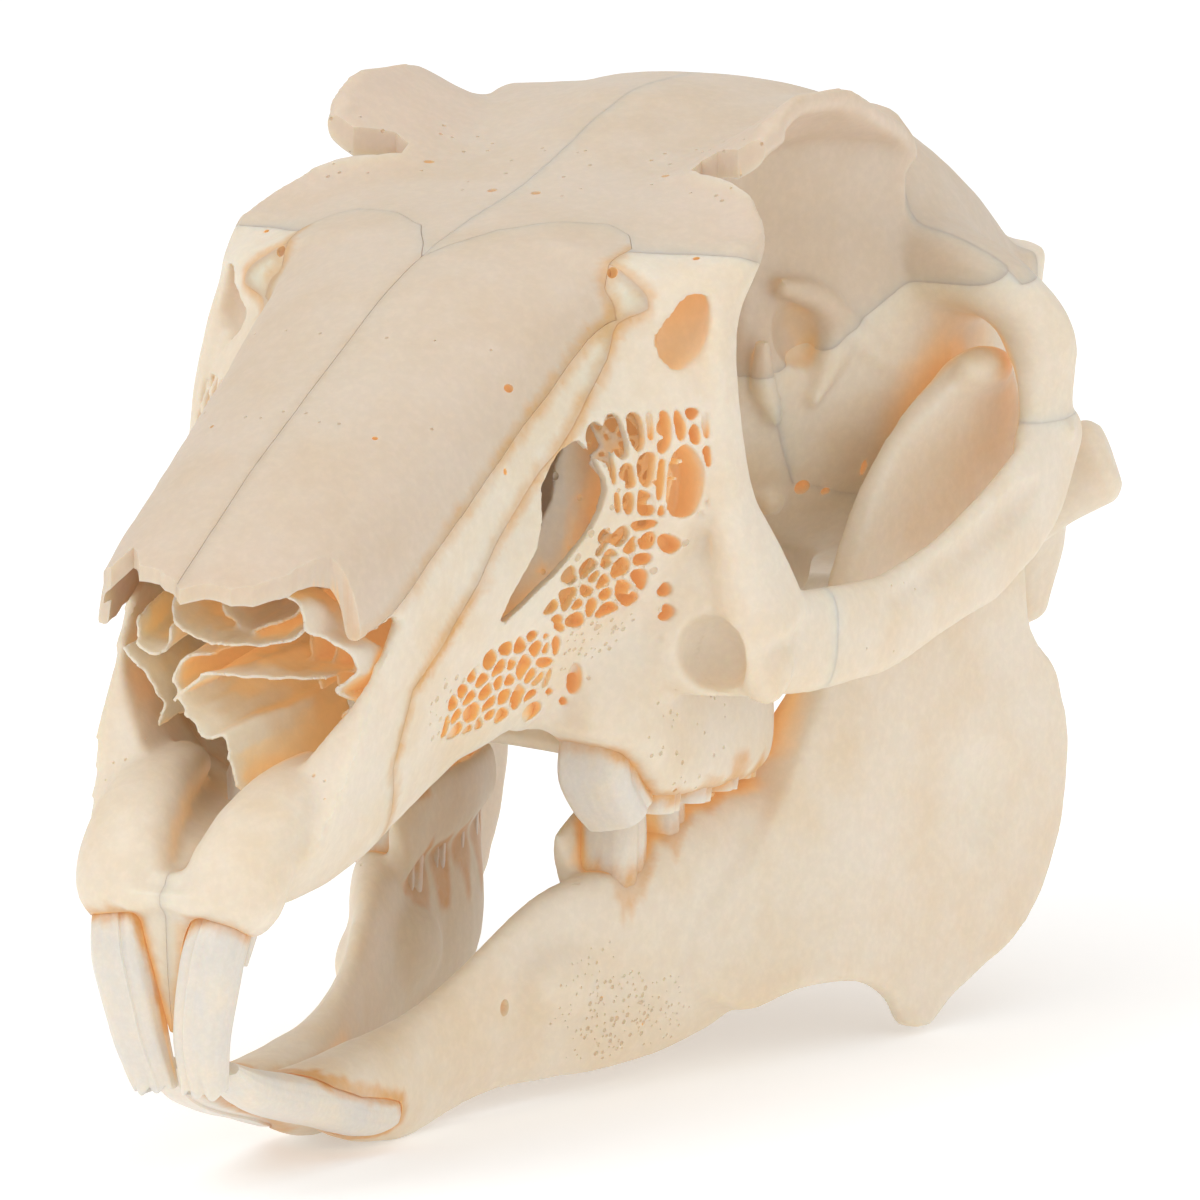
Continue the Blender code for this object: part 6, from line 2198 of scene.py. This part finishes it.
@dataclass(frozen=True)
class Studio:
    """The pale floor, the soft light and the camera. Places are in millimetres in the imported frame."""

    eye: tuple = (323.52707, -619.23655, 142.66588)
    right: tuple = (0.8887752, 0.4583021, -0.0061568)
    up: tuple = (-0.0695483, 0.1481262, 0.9865200)
    back: tuple = (0.4530361, -0.8763663, 0.1635250)
    lens: float = 368.95

    def camera(self) -> None:
        """Makes the camera."""
        data = bpy.data.cameras.new("camera")
        data.lens = self.lens
        data.sensor_width = 36
        data.clip_start, data.clip_end = 0.01, 20
        turn = Matrix((self.right, self.up, self.back)).transposed().to_4x4()
        obj = bpy.data.objects.new("camera", data)
        obj.matrix_world = Matrix.Translation(Vector(self.eye) * MM) @ turn
        bpy.context.scene.collection.objects.link(obj)
        bpy.context.scene.camera = obj

    def floor(self) -> None:
        """Makes the floor, a matt pale sheet that is lit a little from behind, as on a light table."""
        floor = solid("floor", [(-3, -3, 0), (3, -3, 0), (3, 3, 0), (-3, 3, 0)], [(0, 1, 2, 3)])
        material = bpy.data.materials.new("backlit_white_acrylic")
        material.use_nodes = True
        shader = material.node_tree.nodes["Principled BSDF"]
        shader.inputs["Base Color"].default_value = linear("F4F4F4")
        shader.inputs["Roughness"].default_value = 0.9
        shader.inputs["Emission Color"].default_value = (1, 1, 1, 1)
        shader.inputs["Emission Strength"].default_value = 0.28
        floor.data.materials.append(material)

    def light(self) -> None:
        """Makes the soft lights and the bright surroundings."""
        world = bpy.data.worlds.new("surroundings")
        bpy.context.scene.world = world
        world.use_nodes = True
        world.node_tree.nodes["Background"].inputs[0].default_value = (1, 1, 1, 1)
        world.node_tree.nodes["Background"].inputs[1].default_value = 0.68
        for name, place, size, power in (("key", (-0.4, -0.7, 0.9), 0.6, 3.6),
                                         ("top", (0.0, 0.1, 0.9), 0.9, 1.2),
                                         ("fill", (0.7, -0.35, 0.45), 0.8, 0.9)):
            data = bpy.data.lights.new(name, "AREA")
            data.energy = power
            data.size = size
            lamp = bpy.data.objects.new(name, data)
            lamp.location = place
            lamp.rotation_mode = "QUATERNION"
            lamp.rotation_quaternion = (Vector((0, 0, 0.03)) - Vector(place)).to_track_quat("-Z", "Y")
            bpy.context.scene.collection.objects.link(lamp)

    def build(self) -> None:
        """Makes the studio."""
        self.camera()
        self.floor()
        self.light()
        bpy.context.scene.view_settings.view_transform = "Standard"


def main() -> None:
    """Builds the skull and the studio."""
    logging.basicConfig(level=logging.INFO, format="%(message)s")
    skull = Skull()
    skull.build()
    Weathering().paint(skull.pieces)
    skull.settle()
    Studio().build()
    bpy.context.view_layer.update()


if __name__ == "__main__":
    main()
